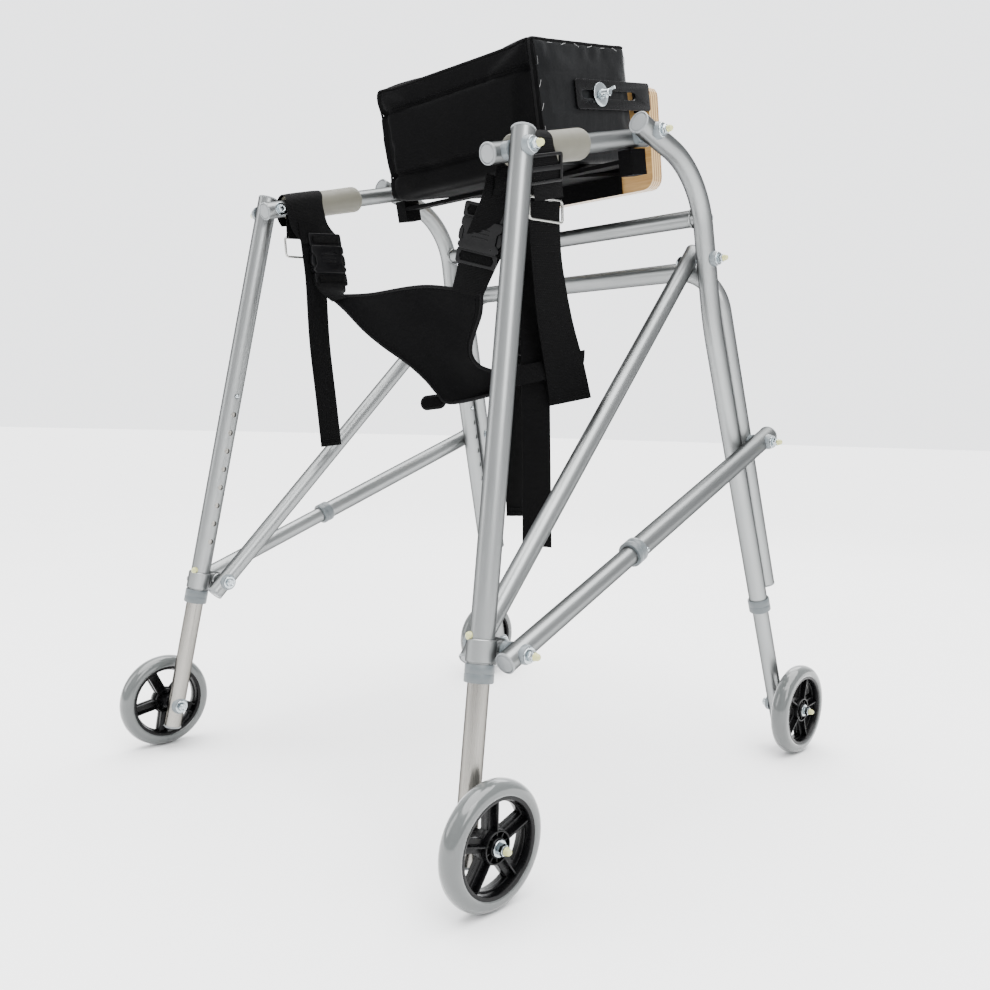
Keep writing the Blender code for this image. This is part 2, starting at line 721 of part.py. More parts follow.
def chest_pad():
    turn = Matrix.Translation(PAD_CENTRE) @ tilted(PAD_TILT)
    pad = add_mesh("chest_pad", block_mesh("chest_pad", PAD_SIZE, edge=0.010), VINYL, turn)
    holes = []
    for label, side in SIDES:
        start = pad_point(side * (PAD_SIZE[0] / 2 - 0.030), SLOT[0], BRACKET_HEIGHT)
        end = pad_point(side * (PAD_SIZE[0] / 2 + 0.010), SLOT[0], BRACKET_HEIGHT)
        holes.append((start, end, 0.0044))
    cut(pad, rod_mesh("pad_bolt_holes", holes, 12))
    return pad


def pad_bolt(label, side):
    """The wing bolt that locks the pad in the bracket's slot."""
    inner = PAD_SIZE[0] / 2 - 0.029
    plate = PAD_SIZE[0] / 2 + 0.0004 + 0.003 + GAP
    tip = PAD_SIZE[0] / 2 + 0.026
    washer = 0.0145
    profile = [
        (0.0, tip - inner), (0.0045, tip - inner), (0.0055, tip - inner - 0.009),
        (0.0060, plate + 0.002 - inner), (washer, plate + 0.002 - inner),
        (washer, plate - inner), (0.0040, plate - inner), (0.0040, 0.0), (0.0, 0.0),
    ]
    place = pad_point(side * inner, SLOT[0], BRACKET_HEIGHT)
    return turned("pad_bolt_" + label, profile, place, (side, 0, 0), ZINC, 12)


# ---- sling seat and straps ---------------------------------------------------------------------------
def sling_seat():
    """The seat panel, with its two corner straps and the free end of the left one."""
    panel = [
        (Vector((-0.150, -0.161, 0.630)), Vector((0.134, -0.161, 0.609))),
        (Vector((-0.112, -0.159, 0.600)), Vector((0.122, -0.153, 0.583))),
        (Vector((-0.063, -0.145, 0.562)), Vector((0.098, -0.141, 0.556))),
        (Vector((-0.024, -0.136, 0.539)), Vector((0.095, -0.136, 0.543))),
        (Vector((0.004, -0.129, 0.518)), Vector((0.101, -0.130, 0.532))),
        (Vector((0.038, -0.117, 0.488)), Vector((0.119, -0.116, 0.524))),
        (Vector((0.098, -0.110, 0.497)), Vector((0.129, -0.107, 0.522))),
    ]
    seat = add_mesh("sling_seat", band_mesh("sling_seat", panel, SEAT_THICKNESS, 4, 2, 0.010),
                    WEBBING)
    left = [
        (Vector((-0.1880, -0.194, 0.745)), Vector((-0.1880, -0.152, 0.745))),
        (Vector((-0.1870, -0.186, 0.715)), Vector((-0.1870, -0.140, 0.712))),
        (Vector((-0.1790, -0.174, 0.668)), Vector((-0.1770, -0.128, 0.664))),
        (Vector((-0.1680, -0.171, 0.640)), Vector((-0.1480, -0.146, 0.639))),
        (Vector((-0.1440, -0.166, 0.618)), Vector((-0.1160, -0.160, 0.624))),
    ]
    join(seat, band_mesh("corner_strap_left", left, STRAP_THICKNESS, 1, 2))
    right = [
        (Vector((0.1880, -0.194, 0.745)), Vector((0.1880, -0.152, 0.745))),
        (Vector((0.1750, -0.190, 0.700)), Vector((0.1750, -0.150, 0.700))),
        (Vector((0.1440, -0.186, 0.645)), Vector((0.1340, -0.148, 0.640))),
        (Vector((0.1160, -0.186, 0.612)), Vector((0.1080, -0.154, 0.603))),
    ]
    join(seat, band_mesh("corner_strap_right", right, STRAP_THICKNESS, 1, 2))
    tail = [
        (Vector((-0.1872, -0.184, 0.7435)), Vector((-0.1872, -0.158, 0.7435))),
        (Vector((-0.1868, -0.184, 0.715)), Vector((-0.1868, -0.158, 0.715))),
        (Vector((-0.1885, -0.178, 0.600)), Vector((-0.1885, -0.152, 0.600))),
        (Vector((-0.1860, -0.158, 0.428)), Vector((-0.1860, -0.132, 0.428))),
    ]
    join(seat, band_mesh("strap_tail_left", tail, 0.002, 1, 2))
    return seat


def front_strap():
    """The strap that hangs in front of the right rear leg and ends in a free tail."""
    line = [
        (Vector((0.1850, -0.146, 0.742)), Vector((0.1850, -0.108, 0.742))),
        (Vector((0.1620, -0.124, 0.650)), Vector((0.1620, -0.088, 0.650))),
        (Vector((0.1400, -0.118, 0.560)), Vector((0.1400, -0.084, 0.560))),
        (Vector((0.1360, -0.118, 0.460)), Vector((0.1360, -0.084, 0.460))),
        (Vector((0.1380, -0.118, 0.352)), Vector((0.1380, -0.084, 0.352))),
    ]
    return add_mesh("front_strap", band_mesh("front_strap", line, STRAP_THICKNESS, 1, 2), WEBBING)


def webbing_tail():
    """The wide webbing that hangs from the ring on the right."""
    line = [
        (Vector((0.1882, -0.140, 0.738)), Vector((0.1882, -0.088, 0.738))),
        (Vector((0.1890, -0.140, 0.690)), Vector((0.1890, -0.088, 0.692))),
        (Vector((0.1885, -0.128, 0.600)), Vector((0.1885, -0.076, 0.603))),
        (Vector((0.1870, -0.098, 0.491)), Vector((0.1870, -0.046, 0.496))),
    ]
    return add_mesh("webbing_tail", band_mesh("webbing_tail", line, STRAP_THICKNESS, 1, 2),
                    WEBBING)


# ---- the walker ------------------------------------------------------------------------------------------
clear_scene()
PARTS = collection("front_wheeled_walker")
CUTTERS = collection("cutters", hidden=True)

ALUMINIUM = material("satin_aluminium", (0.62, 0.63, 0.64), 0.35, 0.9)
ZINC = material("zinc_plate", (0.55, 0.57, 0.60), 0.30, 1.0)
COLLAR = material("grey_collar", (0.33, 0.35, 0.36), 0.5)
GRIP = material("grey_grip", (0.42, 0.41, 0.37), 0.6)
BLACK_PLASTIC = material("black_plastic", (0.01, 0.01, 0.01), 0.3)
BLACK_STEEL = material("black_steel", (0.012, 0.012, 0.012), 0.35)
VINYL = material("black_vinyl", (0.015, 0.015, 0.016), 0.5)
WEBBING = material("black_webbing", (0.012, 0.012, 0.013), 0.8)
PLYWOOD = material("plywood", (0.60, 0.42, 0.22), 0.45)

crossbar()
u_frame()
pad_carrier()
backboard()
chest_pad()
sling_seat()
front_strap()
webbing_tail()
for word, sign in SIDES:
    front_leg(word, sign)
    leg_collar("front_collar_" + word, FRONT_AXLE, FRONT_KNEE, sign)
    extension("front_extension_" + word, FRONT_AXLE, FRONT_KNEE, sign)
    extension_button("front_snap_button_" + word, FRONT_AXLE, FRONT_KNEE, sign)
    wheel("front_wheel_" + word, FRONT_AXLE, FRONT_WHEEL_OFFSET, sign)
    axle_bolt("front_axle_bolt_" + word, FRONT_AXLE, FRONT_WHEEL_OFFSET, sign)
    rear_leg(word, sign)
    leg_collar("rear_collar_" + word, REAR_AXLE, REAR_TOP, sign)
    extension("rear_extension_" + word, REAR_AXLE, REAR_TOP, sign)
    extension_button("rear_snap_button_" + word, REAR_AXLE, REAR_TOP, sign)
    wheel("rear_wheel_" + word, REAR_AXLE, REAR_WHEEL_OFFSET, sign)
    axle_bolt("rear_axle_bolt_" + word, REAR_AXLE, REAR_WHEEL_OFFSET, sign)
    brace_clamp(word, sign)
    diagonal_brace(word, sign)
    brace_inner(word, sign)
    brace_outer(word, sign)
    brace_button(word, sign)
    handle_rail(word, sign)
    hand_grip(word, sign)
    pad_bracket(word, sign)
    pad_bolt(word, sign)
    bolt("rail_front_bolt_" + word, *RAIL_BOLT, RAIL_FRONT_PIVOT, sign)
    bolt("rail_rear_bolt_" + word, *RAIL_BOLT, RAIL_REAR_PIVOT, sign)
    bolt("clamp_bolt_" + word, *CLAMP_BOLT, CLAMP_PIVOT, sign)
    stub_bolt("diagonal_bolt_" + word, *DIAGONAL_BOLT, DIAGONAL_PIVOT, sign)
    stub_bolt("brace_bolt_" + word, *BRACE_BOLT, BRACE_PIVOT, sign)
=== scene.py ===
"""The looks of the front wheeled walker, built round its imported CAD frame. Metres, +Z up."""

import math

import bmesh
import bpy
import numpy as np
from mathutils import Matrix, Vector
from mathutils.bvhtree import BVHTree


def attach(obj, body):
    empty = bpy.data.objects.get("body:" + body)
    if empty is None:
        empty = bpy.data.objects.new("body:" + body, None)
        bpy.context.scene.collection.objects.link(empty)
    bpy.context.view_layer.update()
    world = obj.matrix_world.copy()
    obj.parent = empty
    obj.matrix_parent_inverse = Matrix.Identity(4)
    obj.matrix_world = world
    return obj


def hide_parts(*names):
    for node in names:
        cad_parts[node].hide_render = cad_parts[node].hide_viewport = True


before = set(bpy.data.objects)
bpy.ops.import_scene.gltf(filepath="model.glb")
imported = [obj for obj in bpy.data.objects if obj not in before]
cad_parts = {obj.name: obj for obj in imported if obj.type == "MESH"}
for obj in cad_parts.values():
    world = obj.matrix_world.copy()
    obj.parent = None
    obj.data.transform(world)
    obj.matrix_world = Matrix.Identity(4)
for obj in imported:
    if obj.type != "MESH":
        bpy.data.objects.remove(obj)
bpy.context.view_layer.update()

# ---- the frame's own dimensions, in metres, as in the CAD ----------------------------------
# LARGE and SMALL are the tubes' outer radii. A pair is (y, z) unless its name says otherwise.
LARGE = 0.0127
SMALL = 0.0111
WALL = 0.0012
WHEEL_RADIUS = 0.0635
HALF_BASE = 0.32045
WHEEL_OFFSET = {"rear": 0.0343, "front": 0.0335}
HOLE_PITCH = 0.0254
HOLE_COUNT = 9
TOP_HOLE_Z = 0.492
LEG_FOOT_Z = 0.215
INSERTION_Z = 0.520

RAIL_FRONT_PIVOT = (0.013, 0.8125)
RAIL_REAR_PIVOT = (-0.213, 0.7435)
DIAGONAL_PIVOT = (0.1447, 0.683)
BRACE_PIVOT = (0.2358, 0.448)
CLAMP_PIVOT = (-0.269, 0.237)
REAR_AXLE = Vector((0.2904, -HALF_BASE, WHEEL_RADIUS))
REAR_TOP = Vector((0.2377, -0.2073, 0.7642))
FRONT_AXLE = Vector((0.2834, HALF_BASE, WHEEL_RADIUS))
FRONT_KNEE = Vector((0.2445, 0.1615, 0.601))
FRONT_CORNER = Vector((0.2387, 0.1227, 0.7895))
FRONT_END = Vector((0.2391, -0.0093, 0.8185))
RAIL_X = 0.2096
RAIL_REAR = Vector((RAIL_X, -0.2294, 0.7389))
RAIL_FRONT = Vector((RAIL_X, 0.0440, 0.8202))
GRIP_RADIUS = 0.0175
GRIP_Y = (-0.195, -0.080)
CROSSBAR = (0.1330, 0.7355)
CROSSBAR_END = 0.2405
U_TOP = (0.1702, 0.6755)
U_FOOT = Vector((0.2702, 0.2944, 0.245))
DIAGONAL_X = (0.2500, 0.2145)
BRACE_X = (0.3050, 0.2835)
BRACE_COLLAR_AT = 0.211
BRACE_BUTTON_AT = 0.226
BRACE_INNER_LENGTH = 0.300
PAD_TILT = math.radians(13.3)
PAD_CENTRE = Vector((0.0, 0.011, 0.866))
PAD_SIZE = Vector((0.2856, 0.198, 0.152))
BOARD_TILT = math.radians(9.5)
BOARD_CENTRE = Vector((0.0, 0.1600, 0.861))
BOARD_THICKNESS = 0.023
PLIES = 9
# How far each wheel's spokes are turned, in degrees.
SPOKE_PHASE = {"rear_left": 62, "rear_right": 19, "front_left": 30, "front_right": 5}
SIDES = (("left", -1), ("right", 1))


# ---- materials -----------------------------------------------------------------------------
def material(name, colour, roughness, metallic=0.0):
    made = bpy.data.materials.new(name)
    made.use_nodes = True
    tree = made.node_tree
    shader = tree.nodes["Principled BSDF"]
    shader.inputs["Base Color"].default_value = (*colour, 1.0)
    shader.inputs["Roughness"].default_value = roughness
    shader.inputs["Metallic"].default_value = metallic
    return made, tree, shader


def node(tree, kind, **values):
    """A new node, with its settings and input values by name."""
    made = tree.nodes.new(kind)
    for key, value in values.items():
        if hasattr(made, key):
            setattr(made, key, value)
        else:
            made.inputs[key.replace("_", " ")].default_value = value
    return made


def coordinates(tree, source, scale):
    start = node(tree, "ShaderNodeTexCoord")
    mapping = node(tree, "ShaderNodeMapping", Scale=scale)
    tree.links.new(start.outputs[source], mapping.inputs["Vector"])
    return mapping.outputs["Vector"]


def on_object(tree):
    """The place on the object, in metres."""
    return coordinates(tree, "Object", (1, 1, 1))


def split(tree, vector):
    parts = node(tree, "ShaderNodeSeparateXYZ")
    tree.links.new(vector, parts.inputs[0])
    return parts.outputs


def noise(tree, vector, scale, detail=3.0):
    made = node(tree, "ShaderNodeTexNoise", Scale=scale, Detail=detail)
    tree.links.new(vector, made.inputs["Vector"])
    return made.outputs["Fac"]


def math_node(tree, operation, *values):
    made = node(tree, "ShaderNodeMath", operation=operation)
    for slot, value in zip(made.inputs, values):
        if isinstance(value, (int, float)):
            slot.default_value = value
        else:
            tree.links.new(value, slot)
    return made.outputs[0]


def times(tree, first, second):
    return math_node(tree, "MULTIPLY", first, second)


def plus(tree, first, second):
    return math_node(tree, "ADD", first, second)


def wave(tree, value, turn):
    """A sine of the value, turn radians to a metre."""
    return math_node(tree, "SINE", times(tree, value, turn))


def spread(tree, value, low, high):
    """The middle of a noise's range, stretched from low to high."""
    made = node(tree, "ShaderNodeMapRange", From_Min=0.3, From_Max=0.7, To_Min=low, To_Max=high)
    tree.links.new(value, made.inputs["Value"])
    return made.outputs["Result"]


def mixed(tree, share, first, second):
    """A mix of two colours, each a plain colour or another node's output."""
    made = node(tree, "ShaderNodeMix", data_type="RGBA")
    for slot, value in (("A", first), ("B", second)):
        if isinstance(value, (tuple, list)):
            made.inputs[slot].default_value = (*value, 1.0)
        else:
            tree.links.new(value, made.inputs[slot])
    tree.links.new(share, made.inputs["Factor"])
    return made.outputs["Result"]


def bump(tree, shader, height, strength, distance):
    made = node(tree, "ShaderNodeBump", Strength=strength, Distance=distance)
    tree.links.new(height, made.inputs["Height"])
    tree.links.new(made.outputs["Normal"], shader.inputs["Normal"])


def shade(colour, factor, lift=0.0):
    return [min(1.0, c * factor + lift) for c in colour]


def coloured(tree, shader, share, first, second):
    tree.links.new(mixed(tree, share, first, second), shader.inputs["Base Color"])


def roughened(tree, shader, value, middle, vary):
    tree.links.new(spread(tree, value, middle - vary, middle + vary), shader.inputs["Roughness"])


def plain(name, colour, roughness, metallic, vary=0.12, rough_vary=0.08, grain=900.0,
          depth=0.00006, coat=0.0, gloss=0.5):
    """A moulded, plated or painted surface, with a slight unevenness in tone, gloss and height."""
    made, tree, shader = material(name, colour, roughness, metallic)
    vector = on_object(tree)
    broad = noise(tree, vector, 28.0)
    coloured(tree, shader, broad, shade(colour, 1 - vary), shade(colour, 1 + vary))
    roughened(tree, shader, noise(tree, vector, 90.0), roughness, rough_vary)
    bump(tree, shader, noise(tree, vector, grain, 2.0), 0.35, depth)
    shader.inputs["Coat Weight"].default_value = coat
    shader.inputs["Specular IOR Level"].default_value = gloss
    return made


def drawn_metal(name, colour, roughness, metallic):
    """Drawn and anodised tube: faint lines along it, clouds in its tone, and painted edge shade."""
    made, tree, shader = material(name, colour, roughness, metallic)
    lines = noise(tree, coordinates(tree, "UV", (90.0, 7.0, 1.0)), 2.0, 4.0)
    clouds = noise(tree, on_object(tree), 14.0)
    face_on = mixed(tree, clouds, shade(colour, 0.90), shade(colour, 1.07))
    # Painted shade: the colour darkens towards the edges, where the surface turns away from the
    # camera.
    painted_edge_shade = node(tree, "ShaderNodeLayerWeight", Blend=0.42)
    coloured(tree, shader, painted_edge_shade.outputs["Facing"], face_on, shade(colour, 0.14))
    shader.inputs["Specular Tint"].default_value = (0.25, 0.25, 0.25, 1)
    roughened(tree, shader, lines, roughness, 0.07)
    speckle = noise(tree, on_object(tree), 1500.0, 1.0)
    bump(tree, shader, plus(tree, times(tree, lines, 0.6), speckle), 0.25, 0.00005)
    return made


def webbing(name, colour, pitch, rough=0.72, depth=0.0005):
    """Woven strap: ribs across it, with a twill and threads that cross them."""
    made, tree, shader = material(name, colour, rough)
    across, along, _ = split(tree, coordinates(tree, "UV", (1, 1, 1)))
    turn = 2 * math.pi / pitch
    ribs = wave(tree, along, turn)
    slant = plus(tree, times(tree, across, turn * 0.55), times(tree, along, turn * 0.5))
    twill = math_node(tree, "SINE", slant)
    threads = wave(tree, across, turn * 1.4)
    weave = plus(tree, ribs, times(tree, twill, 0.5))
    weave = plus(tree, weave, times(tree, threads, 0.35))
    fuzz = noise(tree, on_object(tree), 700.0, 2.0)
    highlight_patches = noise(tree, on_object(tree), 22.0, 5.0)
    # Painted highlight: the weave's raised crests are lighter in colour, more so in broad noise
    # patches.
    painted_crest_highlight = times(tree, spread(tree, weave, 0.0, 0.6), highlight_patches)
    coloured(tree, shader, painted_crest_highlight, colour, shade(colour, 2.6, 0.001))
    bump(tree, shader, plus(tree, times(tree, weave, 0.5), fuzz), 0.7, depth)
    shader.inputs["Specular IOR Level"].default_value = 0.045
    return made


def knit(name, colour, rough, pitch=0.0011):
    """Cover fabric, woven by its place on the object, so that it needs no UVs."""
    made, tree, shader = material(name, colour, rough)
    vector = on_object(tree)
    turn = 2 * math.pi / pitch
    rows = [wave(tree, part, turn) for part in split(tree, vector)]
    weave = plus(tree, times(tree, rows[0], rows[2]), times(tree, rows[1], 0.5))
    fuzz = noise(tree, vector, 500.0, 3.0)
    # Painted light and shade of folds: a broad noise lightens the colour in patches, and the
    # roughness follows it too.
    painted_fold_light = noise(tree, vector, 16.0, 4.0)
    coloured(tree, shader, painted_fold_light, colour, shade(colour, 1.9, 0.0003))
    roughened(tree, shader, painted_fold_light, rough, 0.06)
    bump(tree, shader, plus(tree, times(tree, weave, 0.3), fuzz), 0.5, 0.0003)
    shader.inputs["Specular IOR Level"].default_value = 0.035
    return made


def leathercloth(name, colour, rough):
    """Coated cloth: a pebbled grain over soft creases."""
    made, tree, shader = material(name, colour, rough)
    cells = node(tree, "ShaderNodeTexVoronoi", feature="DISTANCE_TO_EDGE", Scale=620.0)
    tree.links.new(on_object(tree), cells.inputs["Vector"])
    crease_bump_and_light = noise(tree, coordinates(tree, "Object", (1.0, 1.0, 0.5)), 26.0, 5.0)
    grain = times(tree, cells.outputs["Distance"], 0.7)
    bump(tree, shader, plus(tree, grain, times(tree, crease_bump_and_light, 6.0)), 0.55, 0.0005)
    # Painted highlight: the colour is lighter where the crease bumps rise.
    coloured(tree, shader, crease_bump_and_light, colour, shade(colour, 1.7, 0.0006))
    roughened(tree, shader, crease_bump_and_light, rough, 0.10)
    shader.inputs["Specular IOR Level"].default_value = 0.12
    return made


def plywood(name):
    """Birch plywood: plies that show on every edge, and grain that runs along the faces."""
    made, tree, shader = material(name, (0.45, 0.28, 0.13), 0.42)
    start = node(tree, "ShaderNodeTexCoord")
    local = node(tree, "ShaderNodeMapping", vector_type="TEXTURE", Location=BOARD_CENTRE,
                 Rotation=(BOARD_TILT, 0, 0))
    tree.links.new(start.outputs["Object"], local.inputs["Vector"])
    through = split(tree, local.outputs["Vector"])[1]
    plies = wave(tree, through, math.pi * PLIES / BOARD_THICKNESS)
    band = spread(tree, math_node(tree, "MULTIPLY_ADD", plies, 0.5, 0.5), 0.0, 1.0)
    stretched = node(tree, "ShaderNodeMapping", Scale=(7.0, 60.0, 110.0))
    tree.links.new(local.outputs["Vector"], stretched.inputs["Vector"])
    grain = noise(tree, stretched.outputs["Vector"], 2.2, 6.0)
    face = mixed(tree, spread(tree, grain, 0.0, 1.0), (0.44, 0.265, 0.095), (0.28, 0.15, 0.045))
    edge = mixed(tree, band, (0.20, 0.10, 0.035), (0.52, 0.36, 0.16))
    inner = math_node(tree, "ABSOLUTE", through)
    at_edge = math_node(tree, "LESS_THAN", inner, BOARD_THICKNESS / 2 - 0.0009)
    coloured(tree, shader, at_edge, face, edge)
    bump(tree, shader, grain, 0.3, 0.0002)
    shader.inputs["Coat Weight"].default_value = 0.25
    return made


ALUMINIUM = drawn_metal("satin_aluminium", (0.30, 0.31, 0.31), 0.36, 0.94)
BRIGHT_TUBE = drawn_metal("bright_aluminium", (0.30, 0.288, 0.265), 0.28, 0.96)
ZINC = plain("zinc_plate", (0.40, 0.44, 0.46), 0.20, 1.0, 0.10, 0.07, 1200.0)
STEEL_WIRE = plain("nickel_wire", (0.36, 0.36, 0.34), 0.20, 1.0)
STAPLE = plain("staple_steel", (0.22, 0.22, 0.22), 0.30, 1.0)
CAP = plain("grey_cap", (0.19, 0.20, 0.205), 0.38, 0.0, 0.06)
COLLAR = plain("grey_collar", (0.085, 0.098, 0.104), 0.42, 0.0, 0.08)
SADDLE = plain("grey_saddle", (0.135, 0.155, 0.165), 0.36, 0.0, 0.08)
CREAM = plain("cream_cap", (0.46, 0.46, 0.20), 0.30, 0.0, 0.06)
GRIP = plain("grey_grip", (0.098, 0.094, 0.072), 0.62, 0.0, 0.08, 0.06, 1400.0, 0.00012)
TYRE = plain("grey_tyre", (0.078, 0.084, 0.083), 0.16, 0.0, 0.05, 0.05, 500.0, 0.00003, 0.40)
RIM = plain("black_nylon", (0.0022, 0.0022, 0.0025), 0.28, 0.0, 0.2, 0.06, 800.0, 0.00002,
            gloss=0.14)
BUCKLE = plain("black_acetal", (0.0024, 0.0024, 0.0027), 0.34, 0.0, 0.2, 0.08, 900.0, gloss=0.12)
BLACK_STEEL = plain("black_powder_coat", (0.0026, 0.0026, 0.0029), 0.30, 0.0, 0.2, 0.08, 1100.0,
                    0.00006, gloss=0.16)
WEBBING = webbing("black_webbing", (0.0015, 0.0015, 0.0016), 0.0019)
NARROW = webbing("black_narrow_webbing", (0.0011, 0.0011, 0.0012), 0.0014)
COVER = knit("black_cover", (0.0010, 0.0010, 0.0011), 0.76)
SEAT = knit("black_neoprene", (0.0005, 0.0005, 0.0006), 0.72, 0.0009)
BINDING = webbing("black_binding", (0.0034, 0.0034, 0.0036), 0.0010, 0.62, 0.0003)
VINYL = leathercloth("black_vinyl", (0.0030, 0.0032, 0.0035), 0.38)
PLYWOOD = plywood("plywood")


# ---- shapes --------------------------------------------------------------------------------
PIPE_FACETS = 48
PIPE_SHARP = 40
STRIP_CROWN = 0.0006


def sided(point, side):
    """The point on one side of the walker: -1 is the left, 1 the right."""
    return Vector((side * point[0], point[1], point[2]))


def line_at(start, end, z):
    """The point of a line at a given height."""
    return start.lerp(end, (z - start.z) / (end.z - start.z))


def along(direction):
    """A turn that takes +Z to the direction."""
    return Vector(direction).to_track_quat("Z", "Y").to_matrix().to_4x4()


def placed(name, data):
    """A new object in the scene."""
    obj = bpy.data.objects.new(name, data)
    bpy.context.scene.collection.objects.link(obj)
    return obj


def shaded(mesh, angle):
    """Smooth shading, with sharp edges above an angle in degrees."""
    mesh.shade_smooth()
    mesh.set_sharp_from_angle(angle=math.radians(angle))


def straight(start, end, count):
    """Evenly spaced points from start to end."""
    return [start.lerp(end, i / count) for i in range(count + 1)]


def running_lengths(path):
    lengths = [0.0]
    for first, second in zip(path, path[1:]):
        lengths.append(lengths[-1] + (second - first).length)
    return lengths


def mesh_from(name, work):
    """The mesh of a bmesh, which is freed."""
    mesh = bpy.data.meshes.new(name)
    work.to_mesh(mesh)
    work.free()
    return mesh


def make(name, points, faces, paint, matrix=None, sharp=35, uvs=None):
    mesh = bpy.data.meshes.new(name)
    mesh.from_pydata([tuple(p) for p in points], [], faces)
    if uvs is not None:
        layer = mesh.uv_layers.new(name="UVMap")
        for loop in mesh.loops:
            layer.data[loop.index].uv = uvs[loop.vertex_index]
    if matrix is not None:
        mesh.transform(matrix)
    mesh.materials.append(paint)
    shaded(mesh, sharp)
    return placed(name, mesh)


def outward(obj):
    """Turns every face outwards."""
    work = bmesh.new()
    work.from_mesh(obj.data)
    bmesh.ops.recalc_face_normals(work, faces=work.faces)
    work.to_mesh(obj.data)
    work.free()
    return obj


def baked(obj):
    """Applies the object's modifiers."""
    graph = bpy.context.evaluated_depsgraph_get()
    mesh = bpy.data.meshes.new_from_object(obj.evaluated_get(graph))
    obj.modifiers.clear()
    obj.data = mesh
    return obj


def own(obj, body, nodes=()):
    """The piece rides on its body and the CAD nodes it stands for."""
    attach(obj, body)
    if nodes:
        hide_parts(*nodes)
    return obj


def fillet(before, corner, after, radius, steps):
    """The points of a bend of the given radius round a corner."""
    back = (before - corner).normalized()
    ahead = (after - corner).normalized()
    half = back.angle(ahead) / 2
    reach = radius / math.tan(half)
    start = corner + back * reach
    centre = corner + (back + ahead).normalized() * (radius / math.sin(half))
    spoke = start - centre
    axis = spoke.cross(corner + ahead * reach - centre)
    turn = math.pi - 2 * half
    return [centre + Matrix.Rotation(turn * i / steps, 3, axis) @ spoke for i in range(steps + 1)]


def rounded(corners, radii, steps):
    """A path whose inner corners are bent to the given radii."""
    path = [corners[0]]
    for i, radius in enumerate(radii):
        path += fillet(corners[i], corners[i + 1], corners[i + 2], radius, steps)
    return path + [corners[-1]]


def spline(points, steps):
    """A smooth path through the points."""
    points = [Vector(p) for p in points]
    count = len(points)
    made = []
    for i in range(count - 1):
        p0, p1, p2, p3 = (points[min(max(i + k, 0), count - 1)] for k in (-1, 0, 1, 2))
        for j in range(steps):
            t = j / steps
            made.append(0.5 * (2 * p1 + (p2 - p0) * t + (2 * p0 - 5 * p1 + 4 * p2 - p3) * t ** 2
                               + (3 * p1 - p0 - 3 * p2 + p3) * t ** 3))
    return made + [points[-1]]


def rings(path, radius, facets, closed=False):
    """Circles round the path's points, turned so that they do not twist."""
    count = len(path)
    tangents = []
    for i in range(count):
        if closed:
            run = path[(i + 1) % count] - path[i - 1]
        else:
            run = path[min(i + 1, count - 1)] - path[max(i - 1, 0)]
        tangents.append(run.normalized())
    normal = tangents[0].orthogonal().normalized()
    made = []
    for i, (point, tangent) in enumerate(zip(path, tangents)):
        if i:
            normal = (normal - tangent * normal.dot(tangent)).normalized()
        other = tangent.cross(normal)
        made.append([point + (normal * math.cos(a) + other * math.sin(a)) * radius
                     for a in (2 * math.pi * k / facets for k in range(facets))])
    return made


def cord(name, path, radius, paint, closed=False, facets=12):
    """A solid round wire, piping or bar."""
    circles = rings(path, radius, facets, closed)
    points = [p for circle in circles for p in circle]
    faces = []
    count = len(circles)
    for i in range(count if closed else count - 1):
        a, b = i * facets, (i + 1) % count * facets
        for k in range(facets):
            n = (k + 1) % facets
            faces.append((a + k, a + n, b + n, b + k))
    if not closed:
        faces.append(tuple(reversed(range(facets))))
        faces.append(tuple(range((count - 1) * facets, count * facets)))
    lengths = running_lengths(path)
    uvs = [(k / facets * 2 * math.pi * radius, lengths[i])
           for i in range(count) for k in range(facets)]
    return outward(make(name, points, faces, paint, sharp=50, uvs=uvs))


def drilled(obj, holes):
    """Cuts holes across the object, each given as (point, reach, radius)."""
    work = bmesh.new()
    for point, reach, size in holes:
        place = Matrix.Translation(point) @ along((1, 0, 0))
        bmesh.ops.create_cone(work, cap_ends=True, segments=20, radius1=size, radius2=size,
                              depth=2 * reach, matrix=place)
    cutter = placed("drill", mesh_from("drill", work))
    change = obj.modifiers.new("holes", "BOOLEAN")
    change.operation = "DIFFERENCE"
    change.object = cutter
    baked(obj)
    bpy.data.objects.remove(cutter)
    shaded(obj.data, PIPE_SHARP)


def pipe(name, path, radius, paint, holes):
    """A hollow tube with a true wall, drilled where holes are given."""
    facets = PIPE_FACETS
    outer = rings(path, radius, facets)
    inner = rings(path, radius - WALL, facets)
    points = [p for circle in outer + inner for p in circle]
    count = len(path)
    shift = count * facets
    faces = []
    for i in range(count - 1):
        a, b = i * facets, (i + 1) * facets
        for k in range(facets):
            n = (k + 1) % facets
            faces.append((a + k, a + n, b + n, b + k))
            faces.append((shift + a + n, shift + a + k, shift + b + k, shift + b + n))
    for i in (0, count - 1):
        a = i * facets
        for k in range(facets):
            n = (k + 1) % facets
            rim = (a + k, a + n, shift + a + n, shift + a + k)
            faces.append(rim if i else tuple(reversed(rim)))
    lengths = running_lengths(path)
    uvs = [(k / facets, lengths[i]) for i in list(range(count)) * 2 for k in range(facets)]
    obj = outward(make(name, points, faces, paint, sharp=PIPE_SHARP, uvs=uvs))
    if holes:
        drilled(obj, holes)
    return obj


